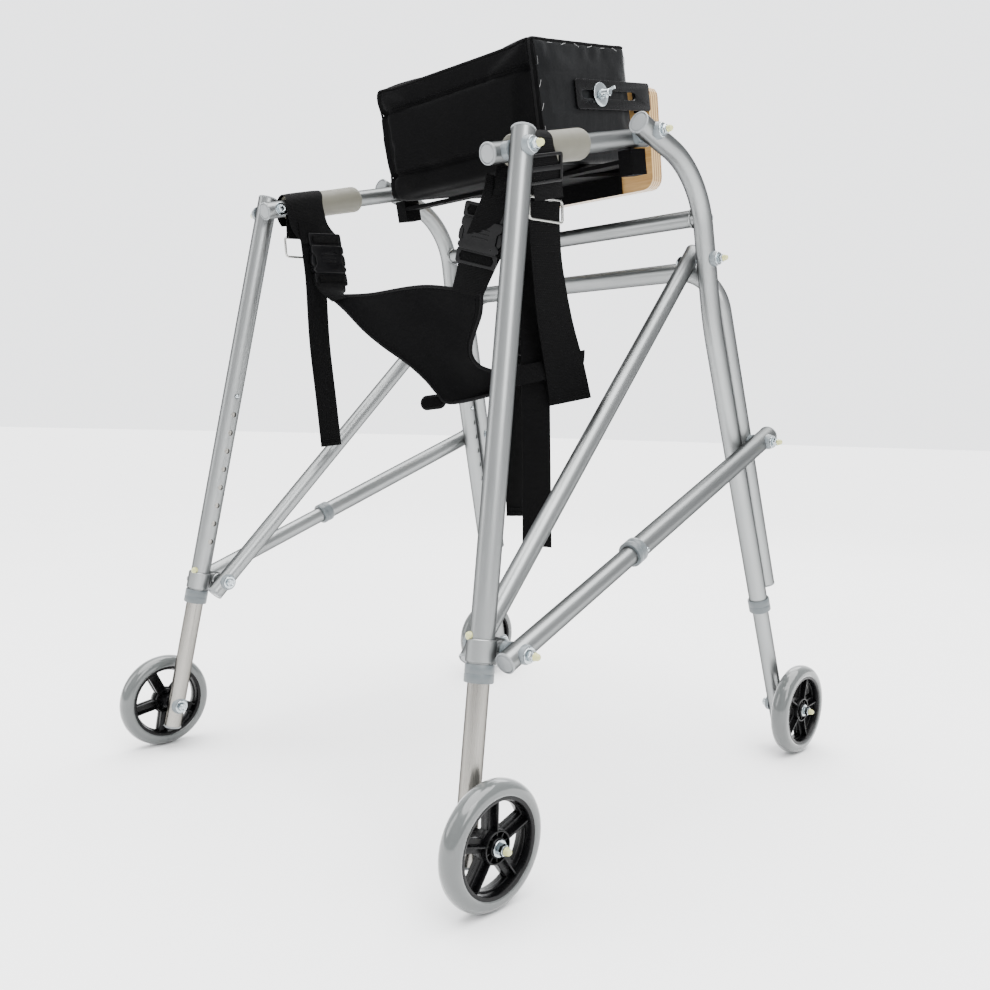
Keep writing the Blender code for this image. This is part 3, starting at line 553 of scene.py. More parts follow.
def lathe(name, profile, place, direction, paint, steps, sharp=35):
    """A turned shape from (radius, height) pairs; a pair on the axis closes it."""
    closed = profile[0][0] > 1e-7 and profile[-1][0] > 1e-7
    points, columns = [], []
    for radius, height in profile:
        if radius < 1e-7:
            columns.append([len(points)] * steps)
            points.append((0, 0, height))
        else:
            columns.append(list(range(len(points), len(points) + steps)))
            for k in range(steps):
                a = 2 * math.pi * k / steps
                points.append((radius * math.cos(a), radius * math.sin(a), height))
    faces = []
    count = len(profile)
    for i in range(count if closed else count - 1):
        low, high = columns[i], columns[(i + 1) % count]
        for k in range(steps):
            n = (k + 1) % steps
            loop = []
            for index in (low[k], low[n], high[n], high[k]):
                if index not in loop:
                    loop.append(index)
            if len(loop) > 2:
                faces.append(tuple(loop))
    matrix = Matrix.Translation(place) @ along(direction)
    return outward(make(name, points, faces, paint, matrix, sharp))


def arc_points(centre, radius, start, end, steps):
    return [(centre[0] + radius * math.cos(math.radians(start + (end - start) * i / steps)),
             centre[1] + radius * math.sin(math.radians(start + (end - start) * i / steps)))
            for i in range(steps + 1)]


def rounded_outline(width, height, radius, steps=6):
    x, y = width / 2 - radius, height / 2 - radius
    points = []
    for centre, start in (((x, y), 0), ((-x, y), 90), ((-x, -y), 180), ((x, -y), 270)):
        points += arc_points(centre, radius, start, start + 90, steps)
    return points


def plate(name, outlines, thickness, paint, matrix, edge):
    """A flat part of one outline, with windows where more outlines follow, and soft edges."""
    data = bpy.data.curves.new(name, "CURVE")
    data.dimensions = "2D"
    data.fill_mode = "BOTH"
    data.extrude = thickness / 2 - edge
    data.bevel_depth = edge
    data.bevel_resolution = 2
    data.offset = -edge
    for outline in outlines:
        line = data.splines.new("POLY")
        line.points.add(len(outline) - 1)
        for point, place in zip(line.points, outline):
            point.co = (*place, 0, 1)
        line.use_cyclic_u = True
    guide = placed(name + "_guide", data)
    graph = bpy.context.evaluated_depsgraph_get()
    mesh = bpy.data.meshes.new_from_object(guide.evaluated_get(graph))
    bpy.data.objects.remove(guide)
    mesh.name = name
    mesh.materials.clear()
    mesh.materials.append(paint)
    mesh.transform(matrix)
    work = bmesh.new()
    work.from_mesh(mesh)
    bmesh.ops.remove_doubles(work, verts=work.verts, dist=1e-6)
    bmesh.ops.recalc_face_normals(work, faces=work.faces)
    work.to_mesh(mesh)
    work.free()
    shaded(mesh, 50)
    return placed(name, mesh)


def merged(name, objects):
    """One piece from several shapes that are moulded or fixed together."""
    work = bmesh.new()
    materials = []
    for obj in objects:
        used = obj.data.materials[0]
        if used not in materials:
            materials.append(used)
        mesh = obj.data.copy()
        for polygon in mesh.polygons:
            polygon.material_index = materials.index(used)
        work.from_mesh(mesh)
        bpy.data.meshes.remove(mesh)
        bpy.data.objects.remove(obj)
    mesh = mesh_from(name, work)
    for used in materials:
        mesh.materials.append(used)
    shaded(mesh, 38)
    return placed(name, mesh)


def strip(name, sections, thickness, paint, across, between):
    """A woven strap between pairs of edge points, thicker in the middle than at its edges."""
    lefts = spline([s[0] for s in sections], between)
    rights = spline([s[1] for s in sections], between)
    count = len(lefts)
    faces_up = []
    for i in range(count):
        after = min(i + 1, count - 1)
        before = max(i - 1, 0)
        run = (lefts[after] + rights[after]) - (lefts[before] + rights[before])
        faces_up.append(run.cross(rights[i] - lefts[i]).normalized())
    points, uvs = [], []
    length = 0.0
    for i in range(count):
        if i:
            length += ((lefts[i] + rights[i]) / 2 - (lefts[i - 1] + rights[i - 1]) / 2).length
        width = (rights[i] - lefts[i]).length
        for sign in (1, -1):
            for j in range(across + 1):
                u = j / across
                swell = STRIP_CROWN * (1 - (2 * u - 1) ** 4)
                lift = sign * (thickness / 2 - STRIP_CROWN + swell)
                points.append(lefts[i].lerp(rights[i], u) + faces_up[i] * lift)
                uvs.append((u * width, length))
    row = 2 * (across + 1)
    faces = []
    for i in range(count - 1):
        a, b = i * row, (i + 1) * row
        for j in range(across):
            faces.append((a + j, a + j + 1, b + j + 1, b + j))
            c, d = a + across + 1 + j, b + across + 1 + j
            faces.append((c + 1, c, d, d + 1))
        faces.append((a, b, b + across + 1, a + across + 1))
        faces.append((a + across, a + row - 1, b + row - 1, b + across))
    for a in (0, (count - 1) * row):
        faces.append(tuple(range(a, a + across + 1))
                     + tuple(reversed(range(a + across + 1, a + row))))
    return outward(make(name, points, faces, paint, sharp=60, uvs=uvs))


def stitches(name, path, pitch, paint, radius):
    """A line of separate stitches along a path, each 0.6 of the pitch long."""
    made = []
    travelled = 0.0
    for first, second in zip(path, path[1:]):
        run = second - first
        while travelled < run.length:
            start = first + run.normalized() * travelled
            end = start + run.normalized() * pitch * 0.6
            made.append(cord("stitch", [start, start.lerp(end, 0.5), end], radius, paint, facets=6))
            travelled += pitch
        travelled -= run.length
    return merged(name, made)


# ---- camera, light and floor --------------------------------------------------------------
CAMERA_PLACE = (0.9157, -0.9354, 0.4531)
CAMERA_TURN = (43.07, -5.31, 1.41)
CAMERA_LENS = 34.02
CAMERA_SHIFT = (-0.0172, 0.0240)
BACKDROP = 2.9
DARK_SIDE = 0.95
AHEAD = (-0.68, 0.73, 0.05)
SUN_SHARE = 0.84
FLOOR_TONE = 0.93
FLOOR_REACH = 60.0
LAMPS = (
    ("key", (2.1, -0.9, 1.9), (1.1, 1.7), 46.0),
    ("fill", (-1.6, -1.9, 1.3), (0.9, 1.6), 22.0),
    ("back", (-0.9, 2.3, 2.2), (1.6, 1.2), 30.0),
)
LAMPS_AIM = Vector((0, 0, 0.45))


def set_camera():
    """The photograph's camera, turned by yaw, pitch and roll."""
    data = bpy.data.cameras.new("camera")
    data.sensor_width = 36.0
    data.lens = CAMERA_LENS
    data.shift_x, data.shift_y = CAMERA_SHIFT
    data.clip_end = 200.0
    camera = placed("camera", data)
    yaw, pitch, roll = (math.radians(a) for a in CAMERA_TURN)
    ahead = Vector((-math.sin(yaw) * math.cos(pitch), math.cos(yaw) * math.cos(pitch),
                    math.sin(pitch)))
    flat = ahead.cross(Vector((0, 0, 1))).normalized()
    lift = flat.cross(ahead)
    right = flat * math.cos(roll) + lift * math.sin(roll)
    up = lift * math.cos(roll) - flat * math.sin(roll)
    turn = Matrix((right, up, -ahead)).transposed().to_4x4()
    camera.matrix_world = Matrix.Translation(CAMERA_PLACE) @ turn
    bpy.context.scene.camera = camera


def set_world():
    """A studio that is white behind the walker and dimmer on the camera's side."""
    world = bpy.data.worlds.new("studio")
    world.use_nodes = True
    tree = world.node_tree
    facing = node(tree, "ShaderNodeVectorMath", operation="DOT_PRODUCT")
    tree.links.new(node(tree, "ShaderNodeTexCoord").outputs["Generated"], facing.inputs[0])
    facing.inputs[1].default_value = AHEAD
    sweep = node(tree, "ShaderNodeMapRange", interpolation_type="SMOOTHSTEP", From_Min=0.35,
                 From_Max=0.85, To_Min=DARK_SIDE, To_Max=BACKDROP)
    tree.links.new(facing.outputs["Value"], sweep.inputs["Value"])
    background = tree.nodes["Background"]
    background.inputs["Color"].default_value = (0.97, 0.98, 1.0, 1.0)
    tree.links.new(sweep.outputs["Result"], background.inputs["Strength"])
    bpy.context.scene.world = world


def set_lamps():
    """Three soft boxes, and a wide sun that brings the floor near the backdrop's brightness."""
    for name, place, size, power in LAMPS:
        light = bpy.data.lights.new(name, "AREA")
        light.shape = "RECTANGLE"
        light.size, light.size_y = size
        light.energy = power
        lamp = placed(name, light)
        lamp.location = place
        lamp.rotation_euler = (LAMPS_AIM - Vector(place)).to_track_quat("-Z", "Y").to_euler()
    light = bpy.data.lights.new("overhead", "SUN")
    light.energy = SUN_SHARE * BACKDROP * math.pi / FLOOR_TONE
    light.angle = math.radians(70)
    placed("overhead", light)


def set_floor():
    paint, tree, shader = material("floor", (FLOOR_TONE, FLOOR_TONE, FLOOR_TONE), 0.9)
    shader.inputs["Specular IOR Level"].default_value = 0.0
    faint = noise(tree, on_object(tree), 3.0)
    coloured(tree, shader, faint, (0.92, 0.92, 0.92), (0.95, 0.95, 0.95))
    square = ((-1, -1), (1, -1), (1, 1), (-1, 1))
    corners = [(x * FLOOR_REACH, y * FLOOR_REACH, 0) for x, y in square]
    floor = make("floor", corners, [(0, 1, 2, 3)], paint)


# ---- tubes ---------------------------------------------------------------------------------
BUTTON_HOLE = (0.005, 0.0038)


def tube(name, path, radius, body, node_name, holes=(), paint=ALUMINIUM):
    """A tube of the frame, which stands for one CAD node."""
    own(pipe(name, path, radius, paint, holes), body, (node_name,))


def end_cap(name, end, direction, radius, body):
    """A pressed-in plastic cap: a thin rim and a slightly domed face."""
    profile = [
        (0.0, 0.0028), (radius * 0.5, 0.0026), (radius * 0.80, 0.0021), (radius * 0.86, 0.0013),
        (radius * 0.90, 0.0024), (radius * 0.97, 0.0026), (radius + 0.0004, 0.0018),
        (radius + 0.0004, 0.0002), (radius - 0.0002, 0.0), (radius - WALL - 0.0002, -0.0002),
        (radius - WALL - 0.0003, -0.006), (0.0, -0.006),
    ]
    cap = lathe(name, profile, end, direction, CAP, 48)
    return own(cap, body)


def hole_row(start, end, side):
    """The places of a leg's adjustment holes, on its inner face."""
    drop = HOLE_PITCH * (end - start).normalized().z
    return [sided(line_at(start, end, TOP_HOLE_Z - drop * i) - Vector((LARGE, 0, 0)), side)
            for i in range(HOLE_COUNT)]


def snap_button(name, centre, outward_way, outer, body, node_name):
    """A domed steel button that stands out of the tube's hole."""
    face = outer - 0.0040
    profile = [
        (0.0, 0.0068), (0.0012, 0.0066), (0.0022, 0.0060), (0.0029, 0.0050), (0.0032, 0.0038),
        (0.0032, 0.0), (0.0, 0.0),
    ]
    way = Vector(outward_way)
    button = lathe(name, profile, centre + way * face, way, ZINC, 24)
    return own(button, body, (node_name,))


def legs(word, side):
    """The tubes of one side, with their caps, collars and buttons."""
    foot = sided(line_at(REAR_AXLE, REAR_TOP, LEG_FOOT_Z), side)
    top = sided(REAR_TOP, side)
    pivot = (sided((0.2393, *RAIL_REAR_PIVOT), side), 0.02, 0.0036)
    holes = [(p, *BUTTON_HOLE) for p in hole_row(REAR_AXLE, REAR_TOP, side)]
    tip = top - (top - foot).normalized() * 0.0024
    path = straight(foot, tip, 12)
    tube("rear_leg_tube_" + word, path, LARGE, "rear_leg_" + word, "rear_leg_" + word,
         holes + [pivot])
    end_cap("rear_leg_cap_" + word, tip, top - foot, LARGE, "rear_leg_" + word)

    foot = sided(line_at(FRONT_AXLE, FRONT_KNEE, LEG_FOOT_Z), side)
    corners = [foot] + [sided(p, side) for p in (FRONT_KNEE, FRONT_CORNER, FRONT_END)]
    path = rounded(corners, (0.6, 0.105), 18)
    holes = [(p, *BUTTON_HOLE) for p in hole_row(FRONT_AXLE, FRONT_KNEE, side)]
    tube("front_leg_tube_" + word, path, LARGE, "front_frame", "front_leg_" + word, holes)
    end_cap("front_leg_cap_" + word, corners[-1], path[-1] - path[-2], LARGE, "front_frame")

    for place, axle, knee, host in (("rear", REAR_AXLE, REAR_TOP, "rear_leg_" + word),
                                    ("front", FRONT_AXLE, FRONT_KNEE, "front_frame")):
        run = (knee - axle).normalized()
        low, high = sided(axle - run * 0.029, side), sided(line_at(axle, knee, INSERTION_Z), side)
        body = f"{place}_extension_{word}"
        tube(f"{place}_extension_tube_{word}", straight(low, high, 8), SMALL, body, body,
             paint=BRIGHT_TUBE if place == "rear" else ALUMINIUM)
        end_cap(f"{place}_extension_cap_{word}", low, low - high, SMALL, body)
        collar_low = sided(line_at(axle, knee, LEG_FOOT_Z - 0.008), side)
        way = sided(run, side)
        height = 0.018 / way.z
        profile = [
            (0.0131, height), (0.0144, height), (0.0151, height - 0.0010), (0.0151, 0.0100),
            (0.0147, 0.0092), (0.0151, 0.0084), (0.0151, 0.0010), (0.0144, 0.0), (0.0118, 0.0),
            (0.0118, 0.0075), (0.0131, 0.0078),
        ]
        collar = lathe(f"{place}_collar_ring_{word}", profile, collar_low, way, COLLAR, 64)
        own(collar, host, (f"{place}_collar_{word}",))
        centre = sided(line_at(axle, knee, TOP_HOLE_Z), side)
        snap_button(f"{place}_button_dome_{word}", centre, (-side, 0, 0), LARGE,
                    f"{place}_button_{word}", f"{place}_snap_button_{word}")


def braces(word, side):
    """The diagonal brace and the telescopic brace of one side."""
    low = sided((DIAGONAL_X[0], *CLAMP_PIVOT), side)
    high = sided((DIAGONAL_X[1], *DIAGONAL_PIVOT), side)
    run = (high - low).normalized()
    ends = (low - run * 0.020, high + run * 0.020)
    body = "diagonal_brace_" + word
    tube("diagonal_brace_tube_" + word, straight(*ends, 12), SMALL, body, body)
    end_cap("diagonal_cap_low_" + word, ends[0], -run, SMALL, body)
    end_cap("diagonal_cap_high_" + word, ends[1], run, SMALL, body)

    low = sided((BRACE_X[0], *CLAMP_PIVOT), side)
    high = sided((BRACE_X[1], *BRACE_PIVOT), side)
    run = (high - low).normalized()
    ends = (low - run * 0.019, low + run * BRACE_INNER_LENGTH)
    tube("brace_inner_" + word, straight(*ends, 6), SMALL, "brace_inner_" + word,
         "brace_inner_tube_" + word)
    end_cap("brace_cap_low_" + word, ends[0], -run, SMALL, "brace_inner_" + word)
    start, end = low + run * BRACE_COLLAR_AT, high + run * 0.022
    seat = low + run * BRACE_BUTTON_AT + Vector((side * LARGE, 0, 0))
    tube("brace_outer_" + word, straight(start, end, 8), LARGE, "brace_outer_" + word,
         "brace_outer_tube_" + word, [(seat, *BUTTON_HOLE)])
    end_cap("brace_cap_high_" + word, end, run, LARGE, "brace_outer_" + word)
    profile = [
        (0.0130, 0.0165), (0.0144, 0.0165), (0.0151, 0.0155), (0.0151, 0.0080), (0.0148, 0.0074),
        (0.0151, 0.0068), (0.0151, 0.0010), (0.0144, 0.0), (0.0114, 0.0), (0.0114, 0.0028),
        (0.0130, 0.0030),
    ]
    collar = lathe("brace_collar_" + word, profile, start - run * 0.003, run, COLLAR, 64)
    own(collar, "brace_outer_" + word)
    snap_button("brace_button_dome_" + word, low + run * BRACE_BUTTON_AT, (side, 0, 0), LARGE,
                "brace_button_" + word, "brace_button_" + word)


def brace_clamp(word, side):
    """The cast band round the rear leg, with the round lug that carries the brace bolt."""
    low = sided(line_at(REAR_AXLE, REAR_TOP, 0.2265), side)
    high = sided(line_at(REAR_AXLE, REAR_TOP, 0.2490), side)
    tall = (high - low).length
    profile = [
        (0.0130, tall), (0.0144, tall), (0.0151, tall - 0.0008), (0.0151, 0.0008),
        (0.0144, 0.0), (0.0130, 0.0),
    ]
    made = [lathe("band", profile, low, high - low, ALUMINIUM, 96)]
    centre = sided(line_at(REAR_AXLE, REAR_TOP, CLAMP_PIVOT[1]), side)
    reach = CLAMP_PIVOT[0] - centre.y
    lug = rounded_outline(0.0190, reach - 0.0040, 0.0030, 8)
    place = Matrix.Translation(centre + Vector((0, (reach + 0.0180) / 2, 0)))
    made.append(plate("lug", [lug], 0.0180, ALUMINIUM,
                      place @ Matrix.Rotation(math.pi / 2, 4, "Y"), 0.0022))
    boss = [(0.0034, 0.0125), (0.0084, 0.0125), (0.0095, 0.0115), (0.0095, -0.0115),
            (0.0084, -0.0125), (0.0034, -0.0125)]
    made.append(lathe("boss", boss, (centre.x, *CLAMP_PIVOT), (1, 0, 0), ALUMINIUM, 64))
    name = "brace_clamp_" + word
    own(merged(name + "_casting", made), "rear_leg_" + word, (name,))


def weld_bead(name, centre, direction, radius, body):
    """A ring of small overlapping ripples, as a hand weld leaves."""
    ring = 40
    path = []
    turn = along(direction).to_3x3()
    for i in range(ring):
        a = 2 * math.pi * i / ring
        wobble = radius + 0.0004 * math.sin(5 * i)
        path.append(Vector(centre) + turn @ Vector((wobble * math.cos(a), wobble * math.sin(a),
                                                    0.0005 * math.sin(7 * i))))
    bead = cord(name, path, 0.0014, ALUMINIUM, closed=True, facets=8)
    return own(bead, body)


def front_bars():
    """The crossbar and the U-frame, with the welds that hold them to the front legs."""
    reach = CROSSBAR_END - LARGE / 2
    ends = [Vector((-reach, *CROSSBAR)), Vector((reach, *CROSSBAR))]
    tube("crossbar_tube", straight(*ends, 10), SMALL, "front_frame", "upper_crossbar")
    top = Vector((0.2400, *U_TOP))
    corners = [sided(U_FOOT, -1), sided(top, -1), top, U_FOOT]
    path = rounded(corners, (0.060, 0.060), 20)
    tube("u_frame_tube", path, LARGE, "front_frame", "u_frame")
    for word, side in SIDES:
        way = sided(top - U_FOOT, side)
        foot = sided(U_FOOT, side)
        end_cap("u_frame_cap_" + word, foot, -way, LARGE, "front_frame")
        weld_bead("crossbar_weld_" + word, (side * (CROSSBAR_END - LARGE - 0.0005), *CROSSBAR),
                  (side, 0, 0), SMALL + 0.0005, "front_frame")
        plug = [(0.0, 0.0036), (0.0040, 0.0034), (0.0070, 0.0024), (0.0086, 0.0), (0.0086, -0.0040),
                (0.0, -0.0040)]
        spot = (side * CROSSBAR_END, CROSSBAR[0] + LARGE, CROSSBAR[1])
        own(lathe("crossbar_plug_" + word, plug, spot, (0, 1, 0), SADDLE, 40), "front_frame")
        for i, z in enumerate((0.300, 0.390, 0.545)):
            on_u = sided(line_at(U_FOOT, top, z), side)
            on_leg = sided(line_at(FRONT_AXLE, FRONT_KNEE, z), side)
            middle = on_u.lerp(on_leg, 0.5) + Vector((side * 0.0046, 0, 0))
            path = [middle + way.normalized() * (0.0045 * (k - 3))
                    + Vector((0, 0.0005 * math.sin(2.6 * k), 0)) for k in range(7)]
            bead = cord(f"seam_weld_{word}_{i}", path, 0.0022, ALUMINIUM, facets=10)
            own(bead, "front_frame")


# ---- fasteners -----------------------------------------------------------------------------
ACROSS_FLATS = 0.0100
OUTER = (("saddle", 0.0050), ("washer", 0.0014), ("nut", 0.0056), ("cap", 0.0074))
HEAD = (("washer", 0.0012), ("head", 0.0038))


def hexagon(name, place, way, across_flats, height, paint):
    """A chamfered hexagon nut or head."""
    corner = across_flats / math.sqrt(3)
    outline = [(corner * math.cos(math.pi / 3 * k), corner * math.sin(math.pi / 3 * k))
               for k in range(6)]
    matrix = Matrix.Translation(Vector(place) + Vector(way) * height / 2) @ along(way)
    return plate(name, [outline], height, paint, matrix, 0.0007)


def turned_part(kind, size):
    """The outline, paint and facets of the turned part of one kind of fastener."""
    dome = [(0.0037 * math.cos(a), size - 0.0036 + 0.0036 * math.sin(a))
            for a in (math.radians(t) for t in (75, 60, 45, 30, 15, 0))]
    return {
        "saddle": ([
            (0.0034, size), (0.0078, size), (0.0088, size - 0.0009), (0.0100, 0.0012),
            (0.0102, -0.0022), (0.0085, -0.0022), (0.0034, 0.0006),
        ], SADDLE, 40),
        "spacer": ([
            (0.0034, size + 0.0012), (0.0084, size + 0.0020), (0.0097, size + 0.0014),
            (0.0090, size / 2), (0.0097, -0.0014), (0.0084, -0.0020), (0.0034, -0.0012),
        ], SADDLE, 40),
        "cup": ([
            (0.0034, size), (0.0090, size), (0.0101, size - 0.0010), (0.0108, 0.0008),
            (0.0108, -0.0030), (0.0090, -0.0030), (0.0034, 0.0),
        ], SADDLE, 40),
        "washer": ([
            (0.0033, size), (0.0080, size), (0.0084, size * 0.7), (0.0084, 0.0002), (0.0033, 0.0),
        ], ZINC, 40),
        "nut": ([
            (0.0, size + 0.0016), (0.0036, size + 0.0016), (0.0043, size + 0.0010),
            (0.0045, size - 0.0008), (0.0, size - 0.0008),
        ], ZINC, 32),
        "head": ([
            (0.0026, size), (0.0036, size + 0.0006), (0.0040, size), (0.0036, size - 0.0004),
        ], ZINC, 32),
        "cap": (
            [(0.0, size)] + dome + [(0.0039, 0.0020), (0.0043, 0.0013), (0.0043, 0.0), (0.0, 0.0)],
            CREAM, 32,
        ),
    }[kind]


def stack(name, pivot, side, outside, parts, body, nodes=(), inward=False):
    """Fastener parts stacked along X from a tube's surface: (kind, thickness)."""
    way = Vector((-side if inward else side, 0, 0))
    x = outside
    made = []
    for kind, size in parts:
        place = Vector((side * x, *pivot))
        if kind in ("nut", "head"):
            made.append(hexagon(kind, place, way, ACROSS_FLATS, size, ZINC))
        profile, paint, steps = turned_part(kind, size)
        made.append(lathe(kind, profile, place, way, paint, steps))
        x += -size if inward else size
    return own(merged(name, made), body, nodes)


def shank(name, pivot, side, start, end, body):
    """The plain part of a bolt, from one distance out to another."""
    run = [Vector((side * (start + (end - start) * i / 4), *pivot)) for i in range(5)]
    return own(cord(name, run, 0.0030, ZINC, facets=20), body)


def fasteners(word, side):
    """The bolts of one side, each at its own distance out from the middle."""
    for label, pivot in (("rail_front", RAIL_FRONT_PIVOT), ("rail_rear", RAIL_REAR_PIVOT)):
        stack(f"{label}_nut_{word}", pivot, side, 0.2518, OUTER, "rails",
              (f"{label}_bolt_{word}",))
        stack(f"{label}_head_{word}", pivot, side, 0.1986, HEAD, "rails", inward=True)
        stack(f"{label}_spacer_{word}", pivot, side, 0.2209, (("spacer", 0.0056),), "rails")
        shank(f"{label}_shank_{word}", pivot, side, 0.1990, 0.2610, "rails")
    stack(f"diagonal_nut_{word}", DIAGONAL_PIVOT, side, 0.2547, OUTER, "front_frame",
          (f"diagonal_bolt_{word}",))
    shank(f"diagonal_shank_{word}", DIAGONAL_PIVOT, side, 0.2275, 0.2630, "front_frame")
    stack(f"diagonal_head_{word}", DIAGONAL_PIVOT, side, 0.2035, HEAD, f"diagonal_brace_{word}",
          inward=True)
    stack(f"brace_nut_{word}", BRACE_PIVOT, side, 0.2962, OUTER, f"brace_outer_{word}",
          (f"brace_bolt_{word}",))
    shank(f"brace_shank_{word}", BRACE_PIVOT, side, 0.2700, 0.3040, f"brace_outer_{word}")
    stack(f"brace_spacer_{word}", BRACE_PIVOT, side, 0.2687, (("spacer", 0.0024),),
          f"brace_outer_{word}")
    stack(f"brace_head_{word}", BRACE_PIVOT, side, 0.2428, HEAD, "front_frame", inward=True)
    stack(f"clamp_nut_{word}", CLAMP_PIVOT, side, 0.3162,
          (("saddle", 0.0038), ("washer", 0.0014), ("nut", 0.0054), ("cap", 0.0074)),
          f"rear_leg_{word}", (f"clamp_bolt_{word}",))
    stack(f"clamp_head_{word}", CLAMP_PIVOT, side, 0.2392,
          (("cup", 0.0022), ("washer", 0.0012), ("head", 0.0036)), f"rear_leg_{word}", inward=True)
    foot = sided(line_at(REAR_AXLE, REAR_TOP, 0.2530), side)
    stud = [(0.0, 0.0052), (0.0020, 0.0050), (0.0034, 0.0040), (0.0042, 0.0022), (0.0044, 0.0),
            (0.0044, -0.0030), (0.0, -0.0030)]
    own(lathe(f"clamp_stud_{word}", stud, foot + Vector((-side * 0.0050, -0.0114, 0)),
              (-side * 0.42, -0.95, 0), CREAM, 28), f"rear_leg_{word}")
    shank(f"clamp_shank_{word}", CLAMP_PIVOT, side, 0.2388, 0.3240, f"rear_leg_{word}")
    stack(f"clamp_spacer_{word}", CLAMP_PIVOT, side, 0.2902, (("spacer", 0.0034),),
          f"rear_leg_{word}")


# ---- wheels --------------------------------------------------------------------------------
RIM_SEAT = 0.0500
TYRE_HALF = 0.0122


def tyre(place, word, centre, side, body):
    crown = []
    for i in range(25):
        a = math.radians(-90 + 180 * i / 24)
        crown.append((RIM_SEAT + 0.0020 + (WHEEL_RADIUS - RIM_SEAT - 0.0020) * math.cos(a) ** 0.75,
                      TYRE_HALF * math.sin(a)))
    profile = [(RIM_SEAT - 0.0016, -TYRE_HALF + 0.0020), (RIM_SEAT, -TYRE_HALF + 0.0002)]
    profile += crown
    profile += [(RIM_SEAT, TYRE_HALF - 0.0002), (RIM_SEAT - 0.0016, TYRE_HALF - 0.0020)]
    made = lathe(f"{place}_tyre_{word}", profile, centre, (side, 0, 0), TYRE, 128, 60)
    own(made, body, (f"{place}_wheel_{word}",))


def bar(name, way, start, end, half_width, thickness, matrix, edge, aside=0.0):
    """A straight rib or fin that runs outwards from the hub."""
    cross = Vector((-way.y, way.x, 0))
    from_point, to_point = way * start + cross * aside, way * end + cross * aside
    out = cross * half_width
    outline = [(p.x, p.y) for p in (from_point + out, to_point + out, to_point - out,
                                    from_point - out)]
    return plate(name, [outline], thickness, RIM, matrix, edge)


def outwards(degrees):
    a = math.radians(degrees)
    return Vector((math.cos(a), math.sin(a), 0))


def hub(place, word, centre, side, body):
    """The moulded rim, its web with five windows and their ribs, and the finned boss."""
    axis = (side, 0, 0)
    turn = Matrix.Translation(centre) @ along(axis)
    rim = [
        (0.0500, 0.0100), (0.0496, 0.0112), (0.0478, 0.0114), (0.0455, 0.0106), (0.0448, 0.0092),
        (0.0440, 0.0030), (0.0438, -0.0030), (0.0448, -0.0092), (0.0455, -0.0106),
        (0.0478, -0.0114), (0.0496, -0.0112), (0.0500, -0.0100),
    ]
    pieces = [lathe("rim", rim, centre, axis, RIM, 128, 40)]
    phases = [72 * i + SPOKE_PHASE[f"{place}_{word}"] for i in range(5)]
    windows = []
    for phase in phases:
        inner = arc_points((0, 0), 0.0185, phase + 23, phase + 49, 5)
        outer = arc_points((0, 0), 0.0425, phase + 62, phase + 10, 12)
        windows.append(inner + outer)
    disc = arc_points((0, 0), 0.0446, 0, 357, 119)
    pieces.append(plate("web", [disc] + windows, 0.0060, RIM, turn, 0.0009))
    for phase in phases:
        for aside, depth in ((0.0, 0.0044), (-0.0056, -0.0044), (0.0056, -0.0044)):
            pieces.append(bar("rib", outwards(phase), 0.0150, 0.0440, 0.0009, 0.0082,
                              turn @ Matrix.Translation((0, 0, depth)), 0.0004, aside))
    boss = [
        (0.0048, 0.0100), (0.0092, 0.0100), (0.0098, 0.0094), (0.0100, 0.0085), (0.0102, -0.0185),
        (0.0095, -0.0195), (0.0048, -0.0195),
    ]
    pieces.append(lathe("boss", boss, centre, axis, RIM, 64))
    ring = [(0.0150, 0.0088), (0.0163, 0.0088), (0.0168, 0.0080), (0.0170, -0.0088),
            (0.0155, -0.0088), (0.0150, -0.0080)]
    pieces.append(lathe("ring", ring, centre, axis, RIM, 64))
    for i in range(10):
        pieces.append(bar("fin", outwards(36 * i + 18), 0.0095, 0.0156, 0.0006, 0.0150, turn,
                          0.0002))
    own(merged(f"{place}_hub_{word}", pieces), body)


def axle_fittings(place, word, axle, side):
    """The axle's bolt, with its nut and cap outside the wheel, and the bush on the tube."""
    body = f"{place}_extension_{word}"
    spot = (axle.y, axle.z)
    x = axle.x + WHEEL_OFFSET[place] + 0.0101
    stack(f"{place}_axle_nut_{word}", spot, side, x,
          (("washer", 0.0016), ("nut", 0.0064), ("cap", 0.0072)), body,
          (f"{place}_axle_bolt_{word}",))
    stack(f"{place}_axle_head_{word}", spot, side, axle.x - SMALL + 0.0010,
          (("cup", 0.0036), ("washer", 0.0014), ("head", 0.0046)), body, inward=True)
    shank(f"{place}_axle_shank_{word}", spot, side, axle.x - SMALL, x + 0.004, body)
    bush = [(0.0043, 0.0052), (0.0085, 0.0052), (0.0092, 0.0044), (0.0092, 0.0), (0.0043, 0.0)]
    bushing = lathe(f"{place}_axle_bush_{word}", bush, (side * (axle.x + SMALL - 0.0006), *spot),
                    (side, 0, 0), RIM, 40)
    own(bushing, body)


def wheel(place, word, axle, side):
    centre = sided((axle.x + WHEEL_OFFSET[place], axle.y, axle.z), side)
    body = f"{place}_wheel_{word}"
    tyre(place, word, centre, side, body)
    hub(place, word, centre, side, body)
    axle_fittings(place, word, axle, side)


# ---- rails and grips -----------------------------------------------------------------------
def on_rail(y, side):
    """The point of a rail's middle line at a given y."""
    share = (y - RAIL_REAR.y) / (RAIL_FRONT.y - RAIL_REAR.y)
    return sided(RAIL_REAR.lerp(RAIL_FRONT, share), side)


